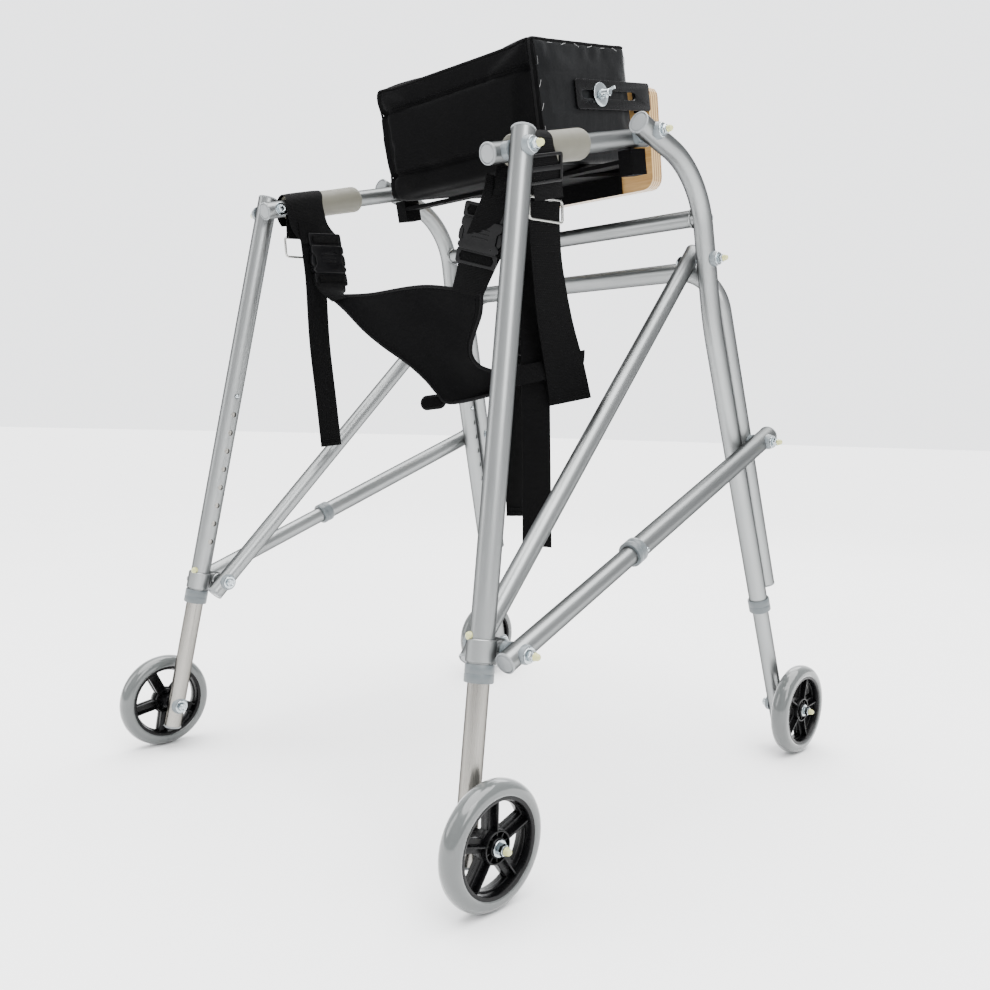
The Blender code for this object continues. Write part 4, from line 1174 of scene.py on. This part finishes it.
def rails(word, side):
    """A handle rail and the moulded grip on it."""
    rear, front = sided(RAIL_REAR, side), sided(RAIL_FRONT, side)
    tube("handle_rail_tube_" + word, straight(rear, front, 12), SMALL, "rails",
         "handle_rail_" + word)
    end_cap("rail_cap_rear_" + word, rear, rear - front, SMALL, "rails")
    end_cap("rail_cap_front_" + word, front, front - rear, SMALL, "rails")
    start, end = on_rail(GRIP_Y[0], side), on_rail(GRIP_Y[1], side)
    length = (end - start).length
    profile = [(SMALL + 0.0002, length - 0.0005), (0.0128, length)]
    for i in range(9):
        a = math.radians(90 - 90 * i / 8)
        profile.append((0.0128 + 0.0047 * math.cos(a), length - 0.0075 + 0.0075 * math.sin(a)))
    for i in range(7):
        t = i / 6
        profile.append((GRIP_RADIUS - 0.0005 * math.sin(math.pi * t),
                        length - 0.012 - (length - 0.018) * t))
    profile += [(0.0172, 0.002), (0.0160, 0.0), (SMALL + 0.0002, 0.0005)]
    grip = lathe("grip_sleeve_" + word, profile, start, end - start, GRIP, 64, 50)
    own(grip, "rails", ("hand_grip_" + word,))


# ---- chest pad -----------------------------------------------------------------------------
PAD = Matrix.Translation(PAD_CENTRE) @ Matrix.Rotation(PAD_TILT, 4, "X")
SEAMS = (0.0400, -0.0413)
SLOT = (-0.0130, 0.1020)
SLOT_HEIGHT = 0.0105
BRACKET_GAP = 0.0004
BRACKET_THICKNESS = 0.003
VOXEL = 0.005
PRESSURE = 4.0
MOST_SWELL = 0.006


def vertex_places(mesh):
    places = np.empty(len(mesh.vertices) * 3)
    mesh.vertices.foreach_get("co", places)
    return places.reshape(-1, 3)


def inflated(pad):
    """Cloth under pressure, without gravity, for twenty steps."""
    cloth = pad.modifiers.new("cloth", "CLOTH")
    cloth.settings.use_pressure = True
    cloth.settings.uniform_pressure_force = PRESSURE
    cloth.settings.effector_weights.gravity = 0.0
    cloth.settings.quality = 5
    cloth.collision_settings.use_self_collision = False
    for step in range(1, 21):
        bpy.context.scene.frame_set(step)
    baked(pad)
    bpy.context.scene.frame_set(1)


def padding():
    """The pad's swollen form, in its own directions: across, depth, height."""
    size = PAD_SIZE - Vector((0.0020, 0.0050, 0.0030))
    work = bmesh.new()
    bmesh.ops.create_cube(work, size=1.0, matrix=Matrix.Diagonal((*size, 1.0)))
    bmesh.ops.bevel(work, geom=work.edges[:], offset=0.006, segments=3, affect="EDGES",
                    profile=0.5)
    pad = placed("chest_pad_cover", mesh_from("chest_pad_cover", work))
    grid = pad.modifiers.new("grid", "REMESH")
    grid.mode = "VOXEL"
    grid.voxel_size = VOXEL
    baked(pad)
    rest = vertex_places(pad.data)
    inflated(pad)
    move = vertex_places(pad.data) - rest
    length = np.linalg.norm(move, axis=1, keepdims=True)
    move *= np.minimum(1.0, MOST_SWELL / np.maximum(length, 1e-9))
    half = np.array(PAD_SIZE) / 2
    share = np.ones(len(rest)) * 0.30
    near = rest[:, 1] < -half[1] + 0.012
    share[near] = 1.0
    top = (rest[:, 2] > half[2] - 0.012) & ~near
    share[top] = 0.6
    ends = np.abs(rest[:, 0]) > half[0] - 0.008
    share[ends] = 0.25
    points = rest + move * share[:, None]
    pad.data.vertices.foreach_set("co", points.ravel())
    smoothing = pad.modifiers.new("smooth", "SUBSURF")
    smoothing.levels = smoothing.render_levels = 1
    baked(pad)
    return pad


def sew(pad):
    """Seams, sewn channels and pleats, pressed into the swollen form."""
    half = PAD_SIZE / 2
    for vertex in pad.data.vertices:
        x, depth, height = vertex.co
        if depth < -half.y + 0.014:
            inboard = min(1.0, max(0.0, (half.x - abs(x) - 0.001) / 0.012))
            for seam in SEAMS:
                gap = (height - seam) / 0.0030
                vertex.co.y += 0.0050 * inboard * math.exp(-gap * gap)
            bands = [-half.z, SEAMS[1], SEAMS[0], half.z]
            for low, high in zip(bands, bands[1:]):
                if low <= height <= high:
                    t = (height - low) / (high - low)
                    vertex.co.y -= 0.0036 * (1 - (2 * t - 1) ** 2)
            vertex.co.y += 0.0008 * math.sin(21 * x + 3) * math.sin(50 * height)
            for edge in (-half.x + 0.010, half.x - 0.010):
                gap = (x - edge) / 0.0022
                vertex.co.y += 0.0018 * math.exp(-gap * gap)
        if depth > 0:
            low = (half.z - height) / PAD_SIZE.z
            vertex.co.y += 0.0034 * low * min(1.0, depth / half.y)
        if abs(x) > half.x - 0.010:
            side = math.copysign(1, x)
            inset = min(half.z - height, depth + half.y)
            if 0 < inset < 0.030:
                fade = math.sin(math.pi * inset / 0.030)
                run = depth if half.z - height < depth + half.y else height
                pleat = math.sin(run * 240 + 40 * inset) * (0.6 + 0.4 * math.sin(run * 61))
                vertex.co.x += side * 0.0006 * fade * pleat
        if abs(vertex.co.x) > half.x - 0.0002 and abs(height - SLOT_HEIGHT) < 0.022:
            vertex.co.x = math.copysign(half.x - 0.0002, x)
    pad.data.update()


def paint_pad(pad):
    """Coated cloth on the two end faces and knit on the rest, and the pad goes to its place."""
    pad.data.materials.clear()
    pad.data.materials.append(COVER)
    pad.data.materials.append(VINYL)
    half = PAD_SIZE / 2
    for polygon in pad.data.polygons:
        end = abs(polygon.center.x) > half.x - 0.0065 and abs(polygon.normal.x) > 0.6
        end = end and polygon.center.y > -half.y + 0.011
        polygon.material_index = 1 if end else 0
    pad.data.transform(PAD)
    pad.data.shade_smooth()


def in_pad(x, depth, height):
    """A point given in the pad's own directions."""
    return PAD @ Vector((x, depth, height))


def evenly(start, length, count):
    """Evenly spaced numbers over a length, which may be negative."""
    return [start + length * k / count for k in range(count + 1)]


def pad_trim(pad):
    """Piping and stitches, laid on the cover wherever it has settled."""
    cover = BVHTree.FromPolygons([v.co for v in pad.data.vertices],
                                 [tuple(p.vertices) for p in pad.data.polygons])

    def laid(points, lift):
        made = []
        for point in points:
            spot, normal, _, _ = cover.find_nearest(in_pad(*point))
            made.append(spot + normal * lift)
        return made

    half = PAD_SIZE / 2
    near = -half.y - 0.002
    for i, height in enumerate((half.z - 0.010, SEAMS[0] + 0.0034, SEAMS[1] + 0.0034)):
        row = evenly(-half.x + 0.008, PAD_SIZE.x - 0.016, 60)
        path = laid([(x, near, height) for x in row], 0.0001)
        own(stitches(f"pad_seam_stitches_{i}", path, 0.0040, BINDING, 0.00026), "chest_pad")
    top = [(x, -half.y, half.z) for x in evenly(-half.x + 0.004, PAD_SIZE.x - 0.008, 40)]
    own(cord("pad_piping_top", laid(top, 0.0006), 0.0016, BINDING), "chest_pad")
    for word, side in SIDES:
        edge = half.x + 0.001
        near_edge = [(side * edge, -half.y, height)
                     for height in evenly(half.z - 0.003, 0.006 - PAD_SIZE.z, 30)]
        top_edge = [(side * edge, depth, half.z)
                    for depth in evenly(half.y - 0.006, 0.010 - PAD_SIZE.y, 30)]
        path = laid(top_edge + near_edge, 0.0005)
        own(cord("pad_piping_" + word, path, 0.0016, BINDING), "chest_pad")
        inner = [(side * edge, -half.y + 0.0105, height)
                 for height in evenly(half.z - 0.006, 0.012 - PAD_SIZE.z, 30)]
        own(cord("pad_welt_" + word, laid(inner, 0.0001), 0.0009, BINDING, facets=8),
            "chest_pad")
        seam = [(side * (half.x - 0.006), near, height)
                for height in evenly(half.z - 0.006, 0.012 - PAD_SIZE.z, 40)]
        own(stitches("pad_edge_stitches_" + word, laid(seam, 0.0001), 0.0040, BINDING, 0.00026),
            "chest_pad")


def staples():
    """The staples along the edges of the pad's two end faces."""
    half = PAD_SIZE / 2
    spots = [(-0.062 + 0.026 * i, half.z - 0.0095, 0.0, i) for i in range(6)]
    spots += [(-half.y + 0.0115, half.z - 0.030 - 0.026 * i, 1.2, i + 6) for i in range(5)]
    spots += [(half.y - 0.0115, half.z - 0.022 - 0.034 * i, 1.5, i + 11) for i in range(2)]
    for word, side in SIDES:
        made = []
        for depth, height, lean, i in spots:
            lean += 0.35 * math.sin(2.3 * i)
            way = Vector((0, math.cos(lean), math.sin(lean))) * 0.0046
            x = side * (half.x + 0.0001)
            ends = [Vector((x, depth, height)) - way, Vector((x, depth, height)) + way]
            rise = Vector((side * 0.0006, 0, 0))
            path = [ends[0] - rise, ends[0] + rise * 0.7, ends[0].lerp(ends[1], 0.5) + rise,
                    ends[1] + rise * 0.7, ends[1] - rise]
            made.append(cord("staple", [PAD @ p for p in path], 0.00033, STAPLE, facets=8))
        own(merged("pad_staples_" + word, made), "chest_pad")


def pad_brackets():
    """The slotted plates beside the pad, each with its front end turned in onto the board."""
    thickness, lift = BRACKET_THICKNESS, SLOT_HEIGHT
    face = PAD_SIZE.x / 2 + BRACKET_GAP + thickness / 2
    upright = Matrix.Rotation(math.pi / 2, 4, "X")
    sideways = Matrix.Rotation(math.pi / 2, 4, "Z") @ upright
    for word, side in SIDES:
        name = "pad_bracket_" + word
        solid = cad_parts[name]
        depths = [(PAD.inverted() @ (solid.matrix_world @ v.co)).y for v in solid.data.vertices]
        back, front = min(depths), max(depths)
        middle = (back + front) / 2
        slot = [(x + (SLOT[0] + SLOT[1]) / 2 - middle, y)
                for x, y in rounded_outline(SLOT[1] - SLOT[0], 0.010, 0.0049, 8)]
        outline = rounded_outline(front - back, 0.035, 0.004, 8)
        place = PAD @ Matrix.Translation((side * face, middle, lift)) @ sideways
        made = [plate("blade", [outline, slot], thickness, BLACK_STEEL, place, 0.0005)]
        turned = (side * (face + thickness / 2 - 0.0132), front - thickness / 2 - 0.0002, lift)
        made.append(plate("flange", [rounded_outline(0.026, 0.031, 0.002)], thickness,
                          BLACK_STEEL, PAD @ Matrix.Translation(turned) @ upright, 0.0005))
        own(merged(name + "_plate", made), "rails", (name,))


def pad_fixings():
    """The washer and wing nut that clamp each end of the pad in its slot."""
    lift = SLOT_HEIGHT
    start = 0.0246
    turn = Matrix.Rotation(PAD_TILT, 4, "X")
    for word, side in SIDES:
        face = PAD_SIZE.x / 2 + BRACKET_GAP + BRACKET_THICKNESS + 0.0003
        place = in_pad(side * face, start, lift)
        way = (side, 0, 0)
        washer = [(0.0036, 0.0018), (0.0135, 0.0018), (0.0143, 0.0012), (0.0145, 0.0004),
                  (0.0142, 0.0), (0.0036, 0.0)]
        made = [lathe("washer", washer, place, way, ZINC, 64)]
        made.append(hexagon("nut", place + Vector((side * 0.0018, 0, 0)), way, ACROSS_FLATS,
                            0.0042, ZINC))
        barrel = [(0.0, 0.0150), (0.0034, 0.0150), (0.0044, 0.0142), (0.0062, 0.0062),
                  (0.0064, 0.0058), (0.0, 0.0058)]
        made.append(lathe("barrel", barrel, place, way, ZINC, 40))
        for sign in (-1, 1):
            wing = ((0.0070, 0.0035), (0.0095, 0.0070), (0.0130, 0.0100), (0.0165, 0.0115))
            path = [place + turn.to_3x3() @ Vector((side * out, sign * w * 0.80, sign * w * 0.50))
                    for out, w in wing]
            made.append(cord("wing", path, 0.0020, ZINC, facets=14))
        screw = [in_pad(side * x, start, lift) for x in (0.1390, 0.1480, 0.1560, 0.1625)]
        made.append(cord("screw", screw, 0.0030, ZINC, facets=20))
        own(merged("pad_wing_nut_" + word, made), "chest_pad", ("pad_bolt_" + word,))


def chest_pad():
    pad = padding()
    sew(pad)
    paint_pad(pad)
    own(pad, "chest_pad", ("chest_pad",))
    pad_trim(pad)
    staples()
    pad_brackets()
    pad_fixings()


# ---- sling seat, straps and buckles -------------------------------------------------------
def frame_at(centre, down, across):
    """A turn whose X runs across a strap, Y up along it, and Z out of its face."""
    up = -Vector(down).normalized()
    flat = Vector(across).normalized()
    out = flat.cross(up).normalized()
    flat = up.cross(out)
    return Matrix.Translation(centre) @ Matrix((flat, up, out)).transposed().to_4x4()


def side_release_buckle(name, centre, down, across, width, body, length=1.0):
    """The two halves of a plastic buckle: a slotted body, two prongs in side windows, bars."""
    place = frame_at(centre, down, across) @ Matrix.Diagonal((1, length, 1, 1))
    half = width / 2
    edge = [
        (half - 0.0015, 0.015), (half, 0.012), (half - 0.0002, 0.007), (half - 0.0048, 0.003),
        (half - 0.0048, -0.006), (half, -0.010), (half, -0.013), (half - 0.003, -0.016),
    ]
    mirrored = [(-x, y) for x, y in reversed(edge)]
    shell = mirrored[-2:] + edge + mirrored[:-2]
    made = [plate("shell", [shell], 0.0092, BUCKLE, place, 0.0012)]
    for sign in (-1, 1):
        prong = [
            (sign * (half - 0.0042), 0.0040), (sign * (half - 0.0005), 0.0055),
            (sign * (half + 0.0012), 0.0010), (sign * (half + 0.0010), -0.0060),
            (sign * (half - 0.0015), -0.0090), (sign * (half - 0.0040), -0.0070),
        ]
        if sign < 0:
            prong.reverse()
        made.append(plate("prong", [prong], 0.0068, BUCKLE, place, 0.0010))
    slot = rounded_outline(width - 0.009, 0.0046, 0.0018)
    frame_outline = rounded_outline(width, 0.0150, 0.0030)
    for offset in (0.0215, -0.0225):
        shift = place @ Matrix.Translation((0, offset, 0))
        made.append(plate("bar_frame", [frame_outline, slot], 0.0054, BUCKLE, shift, 0.0010))
        made.append(plate("wrap", [rounded_outline(width - 0.010, 0.0098, 0.0012, 3)], 0.0078,
                          WEBBING, shift, 0.0018))
    ridge = rounded_outline(width * 0.42, 0.0014, 0.0006, 3)
    for i in range(3):
        made.append(plate("ridge", [ridge], 0.0104, BUCKLE,
                          place @ Matrix.Translation((0, 0.0055 - 0.0042 * i, 0)), 0.0003))
    return own(merged(name, made), body)


def slider(name, centre, down, across, width, height, body):
    """A three-bar slide."""
    outline = rounded_outline(width, height, 0.0035)
    slot = rounded_outline(width - 0.0080, height / 2 - 0.0062, 0.0012)
    shift = height / 4 - 0.0004
    slots = [[(x, y + sign * shift) for x, y in slot] for sign in (1, -1)]
    place = frame_at(centre, down, across)
    return own(plate(name, [outline, *slots], 0.0042, BUCKLE, place, 0.0011), body)


def wire_ring(name, centre, down, across, width, height, body):
    """A rectangular ring of bent wire."""
    place = frame_at(centre, down, across)
    outline = rounded_outline(width, height, 0.0045, 6)
    path = [place @ Vector((x, y, 0)) for x, y in outline]
    ring = cord(name, path, 0.0016, STEEL_WIRE, closed=True, facets=14)
    return own(ring, body)


def grip_loop(name, side, near, far, ends, skew=0.0):
    """Webbing wrapped over a grip, from its outer free end round to its inner one."""
    radius = GRIP_RADIUS + 0.0012
    wrap = [(radius * math.cos(a), radius * math.sin(a))
            for a in (math.radians(t) for t in (0, 30, 60, 90, 120, 150, 180))]
    sections = [*ends[0], *((x, z, skew * i / 6) for i, (x, z) in enumerate(wrap)), *ends[1]]
    pairs = []
    for x, z, shift in sections:
        pair = []
        for y in (near + shift, far + shift):
            spot = on_rail(y, side)
            pair.append(Vector((spot.x + side * x, y, spot.z + z)))
        pairs.append(tuple(pair))
    return own(strip(name, pairs, 0.0018, WEBBING, 8, 4), "rails")


# The seat's rows of points from its top edge down, each from its left edge to its right.
PANEL = (
    ((-0.166, -0.157, 0.633), (-0.070, -0.166, 0.626), (0.045, -0.168, 0.6262),
     (0.135, -0.161, 0.610)),
    ((-0.1270, -0.160, 0.612), (-0.045, -0.157, 0.600), (0.045, -0.156, 0.597),
     (0.128, -0.155, 0.590)),
    ((-0.0940, -0.153, 0.584), (-0.025, -0.149, 0.576), (0.045, -0.148, 0.572),
     (0.111, -0.147, 0.571)),
    ((-0.0630, -0.145, 0.562), (-0.010, -0.141, 0.556), (0.045, -0.140, 0.553),
     (0.0985, -0.141, 0.556)),
    ((-0.0240, -0.136, 0.539), (0.014, -0.133, 0.537), (0.056, -0.133, 0.538),
     (0.0950, -0.136, 0.543)),
    ((0.0040, -0.129, 0.518), (0.033, -0.126, 0.519), (0.068, -0.127, 0.524),
     (0.1010, -0.130, 0.532)),
    ((0.0200, -0.123, 0.501), (0.046, -0.120, 0.504), (0.082, -0.119, 0.512),
     (0.1160, -0.122, 0.5255)),
    ((0.0380, -0.117, 0.4878), (0.064, -0.115, 0.494), (0.096, -0.112, 0.506),
     (0.1280, -0.110, 0.5235)),
    ((0.1080, -0.110, 0.4985), (0.118, -0.107, 0.505), (0.130, -0.104, 0.513),
     (0.1410, -0.101, 0.5220)),
)


def seat_surface(across, between):
    """Rows of points over the seat, from its hung top edge down to the strap it narrows to."""
    columns = [spline([row[i] for row in PANEL], between) for i in range(4)]
    rows = []
    for points in zip(*columns):
        line = spline(points, across // 3)
        for j, point in enumerate(line):
            u = j / (len(line) - 1)
            ripple = math.sin(9 * u + 0.5 * len(rows) / between)
            point.y += 0.0035 * math.sin(math.pi * u) + 0.0014 * math.sin(math.pi * u) * ripple
        rows.append(line)
    return rows


def sling_seat():
    """The seat's cloth, its bound rim and stitches, and the tip that curls at its low corner."""
    across, between = 30, 7
    rows = seat_surface(across, between)
    points = [p for line in rows for p in line]
    width = len(rows[0])
    faces = [(i * width + j, i * width + j + 1, (i + 1) * width + j + 1, (i + 1) * width + j)
             for i in range(len(rows) - 1) for j in range(width - 1)]
    seat = make("sling_seat_panel", points, faces, SEAT, sharp=70)
    skin = seat.modifiers.new("thickness", "SOLIDIFY")
    skin.thickness = 0.0032
    skin.offset = 0.0
    baked(seat)
    seat.data.shade_smooth()
    own(seat, "sling", ("sling_seat",))
    rim = rows[0] + [line[-1] for line in rows[1:]]
    rim += list(reversed(rows[-1][:-1])) + [line[0] for line in reversed(rows[1:-1])]
    binding = cord("seat_binding", rim, 0.0023, BINDING, closed=True, facets=12)
    own(binding, "sling")
    inset = [line[-2].lerp(line[-3], 0.6) + Vector((0, -0.0021, 0.0)) for line in rows[1:-8]]
    top = [rows[1][j].lerp(rows[2][j], 0.3) + Vector((0, -0.0021, 0.0))
           for j in range(2, width - 2)]
    inner = own(stitches("seat_edge_stitches", inset, 0.0045, BINDING, 0.00035), "sling")
    upper = own(stitches("seat_top_stitches", top, 0.0045, BINDING, 0.00035), "sling")
    curl = frame_at((0.0115, -0.1215, 0.4885), (0.12, 0, -1), (0.96, 0.30, 0.28))
    outline = rounded_outline(0.034, 0.0155, 0.0075, 8)
    tip = plate("seat_curled_tip", [outline], 0.0032, SEAT, curl, 0.0012)
    own(tip, "sling")
    edge = [curl @ Vector((x, y, 0.0006)) for x, y in outline]
    own(cord("seat_tip_binding", edge, 0.0019, BINDING, closed=True, facets=10), "sling")


def strap_piece(name, sections, thickness=0.0022, paint=WEBBING, replaces=(), body="sling"):
    """A strap through pairs of edge points, in metres, from its upper end to its lower."""
    made = strip(name, sections, thickness, paint, 8, 8)
    return own(made, body, replaces)


def hem(name, sections, inset):
    """Two rows of stitches across the end of a strap."""
    (a, b), (c, d) = (tuple(Vector(p) for p in pair) for pair in sections[-2:])
    run = ((a + b) - (c + d)).normalized()
    face = run.cross(d - c).normalized()
    made = []
    for row in (inset, inset + 0.006):
        for lift in (-0.0015, 0.0015):
            path = [c.lerp(d, 0.06 + 0.88 * k / 16) + run * row + face * lift for k in range(17)]
            made.append(stitches("row", path, 0.0040, BINDING, 0.00045))
    return own(merged(name, made), "sling")


def left_harness():
    """The left loop, ring and buckle, the seat's left corner strap and the long tail."""
    outer = ((0.0060, -0.0230, 0.0), (0.0150, -0.0135, 0.0))
    inner = ((-0.0200, -0.0160, -0.006), (-0.0215, -0.0330, 0.000), (-0.0262, -0.0520, 0.014))
    grip_loop("strap_loop_left", -1, -0.2005, -0.1425, (outer, inner), -0.009)
    strap_piece("ring_loop_left", (
        ((-0.1995, -0.204, 0.7380), (-0.1995, -0.178, 0.7440)),
        ((-0.1985, -0.204, 0.7230), (-0.1985, -0.178, 0.7260)),
        ((-0.1990, -0.203, 0.7060), (-0.1990, -0.179, 0.7090)),
    ), 0.0034, NARROW, body="rails")
    wire_ring("ring_left", (-0.1990, -0.1900, 0.6965), (0, 0.1, -1), (0, 1, 0.1), 0.030, 0.026,
              "rails")
    side_release_buckle("buckle_left", (-0.1800, -0.1500, 0.6840), (0.13, 0.12, -1),
                        (0.05, 1, 0.08), 0.052, "sling", 1.22)
    strap_piece("corner_strap_left", (
        ((-0.1775, -0.1735, 0.6640), (-0.1745, -0.1270, 0.6610)),
        ((-0.1745, -0.1735, 0.6470), (-0.1660, -0.1290, 0.6440)),
        ((-0.1650, -0.1700, 0.6350), (-0.1420, -0.1500, 0.6350)),
        ((-0.1500, -0.1640, 0.6230), (-0.1200, -0.1620, 0.6260)),
    ))
    tail = (
        ((-0.1850, -0.1950, 0.7300), (-0.1850, -0.1610, 0.7280)),
        ((-0.1860, -0.1870, 0.6860), (-0.1860, -0.1530, 0.6840)),
        ((-0.1868, -0.1810, 0.6500), (-0.1868, -0.1470, 0.6490)),
        ((-0.1890, -0.1730, 0.5700), (-0.1885, -0.1390, 0.5700)),
        ((-0.1885, -0.1620, 0.4920), (-0.1870, -0.1285, 0.4930)),
        ((-0.1880, -0.1530, 0.4250), (-0.1860, -0.1200, 0.4290)),
    )
    strap_piece("strap_tail_left", tail, 0.0020, NARROW)
    hem("strap_tail_hem_left", tail, 0.004)


def right_harness():
    """The right loop, slide and ring, the buckles, and the straps that meet the seat."""
    outer = ((0.0040, -0.0560, 0.036), (0.0130, -0.0400, 0.022), (0.0180, -0.0200, 0.010),
             (0.0192, -0.0080, 0.003))
    inner = ((-0.0200, -0.0160, -0.002), (-0.0230, -0.0330, 0.000), (-0.0290, -0.0440, 0.002))
    grip_loop("strap_loop_right", 1, -0.196, -0.149, (outer, inner))
    slider("slider_right", (0.2270, -0.1600, 0.7360), (-0.22, 0.30, -1), (0, 1, 0.25), 0.0560,
           0.031, "rails")
    wire_ring("ring_right", (0.2010, -0.1275, 0.7020), (0, 0.08, -1), (0, 1, 0.16), 0.057, 0.024,
              "sling")
    wide = (
        ((0.2020, -0.1560, 0.7060), (0.2020, -0.1050, 0.7150)),
        ((0.1995, -0.1530, 0.6850), (0.1995, -0.1020, 0.6930)),
        ((0.1965, -0.1430, 0.6400), (0.1975, -0.0930, 0.6480)),
        ((0.1900, -0.1240, 0.5800), (0.1980, -0.0730, 0.5880)),
        ((0.1830, -0.1020, 0.5300), (0.1990, -0.0510, 0.5400)),
        ((0.1790, -0.0860, 0.4850), (0.1995, -0.0340, 0.4970)),
    )
    strap_piece("wide_strap_right", wide, 0.0026, replaces=("webbing_tail",))
    hem("wide_strap_hem", wide, 0.005)
    strap_piece("corner_strap_right", (
        ((0.1860, -0.2080, 0.7280), (0.1860, -0.1600, 0.7260)),
        ((0.1790, -0.2060, 0.7080), (0.1830, -0.1580, 0.7040)),
        ((0.1560, -0.1970, 0.6880), (0.1800, -0.1570, 0.6800)),
        ((0.1250, -0.1850, 0.6600), (0.1660, -0.1600, 0.6520)),
        ((0.1080, -0.1750, 0.6400), (0.1530, -0.1620, 0.6300)),
        ((0.0930, -0.1690, 0.6170), (0.1360, -0.1610, 0.6060)),
    ))
    side_release_buckle("buckle_right", (0.1500, -0.1790, 0.6720), (-0.36, 0.10, -1),
                        (0.80, 0.55, -0.24), 0.048, "sling", 1.15)
    front = (
        ((0.1850, -0.1460, 0.7360), (0.1850, -0.1080, 0.7380)),
        ((0.1620, -0.1240, 0.6500), (0.1620, -0.0880, 0.6500)),
        ((0.1480, -0.1230, 0.5950), (0.1480, -0.0890, 0.5950)),
        ((0.1400, -0.1210, 0.5400), (0.1400, -0.0870, 0.5400)),
        ((0.1370, -0.1180, 0.4500), (0.1370, -0.0840, 0.4500)),
        ((0.1380, -0.1130, 0.3510), (0.1380, -0.0790, 0.3494)),
    )
    strap_piece("front_strap_right", front, 0.0022, NARROW, ("front_strap",))
    hem("front_strap_hem", front, 0.004)
    side_release_buckle("buckle_front", (0.1475, -0.1170, 0.5600), (-0.1, 0, -1), (0, 1, 0), 0.044,
                        "sling")
    strap_piece("seat_strap_right", (
        ((0.1020, -0.1130, 0.4965), (0.1340, -0.1130, 0.5225)),
        ((0.1320, -0.1270, 0.5020), (0.1460, -0.1260, 0.5250)),
        ((0.1600, -0.1290, 0.5060), (0.1610, -0.1280, 0.5290)),
        ((0.1775, -0.1050, 0.5130), (0.1775, -0.1040, 0.5360)),
        ((0.1775, -0.0600, 0.5260), (0.1775, -0.0580, 0.5480)),
        ((0.1790, -0.0250, 0.5400), (0.1790, -0.0240, 0.5560)),
    ))
    tail = (
        ((0.1580, -0.1230, 0.6900), (0.1650, -0.0820, 0.6920)),
        ((0.1620, -0.1230, 0.6200), (0.1700, -0.0820, 0.6210)),
        ((0.1650, -0.1230, 0.5300), (0.1730, -0.0820, 0.5340)),
        ((0.1680, -0.1200, 0.4200), (0.1770, -0.0800, 0.4200)),
        ((0.1690, -0.1170, 0.3190), (0.1800, -0.0770, 0.3140)),
    )
    strap_piece("strap_tail_right", tail, 0.0022, NARROW)
    hem("strap_tail_hem_right", tail, 0.004)


# ---- CAD nodes that stay, and the whole walker --------------------------------------------
def paint_kept_nodes():
    """The two CAD nodes that still show."""
    for name, paint in (("backboard", PLYWOOD), ("pad_carrier", COVER)):
        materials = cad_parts[name].data.materials
        materials.clear()
        materials.append(paint)


set_camera()
set_world()
set_lamps()
set_floor()
paint_kept_nodes()
front_bars()
for word, sign in SIDES:
    legs(word, sign)
    braces(word, sign)
    brace_clamp(word, sign)
    rails(word, sign)
    fasteners(word, sign)
    wheel("rear", word, REAR_AXLE, sign)
    wheel("front", word, FRONT_AXLE, sign)
chest_pad()
sling_seat()
left_harness()
right_harness()
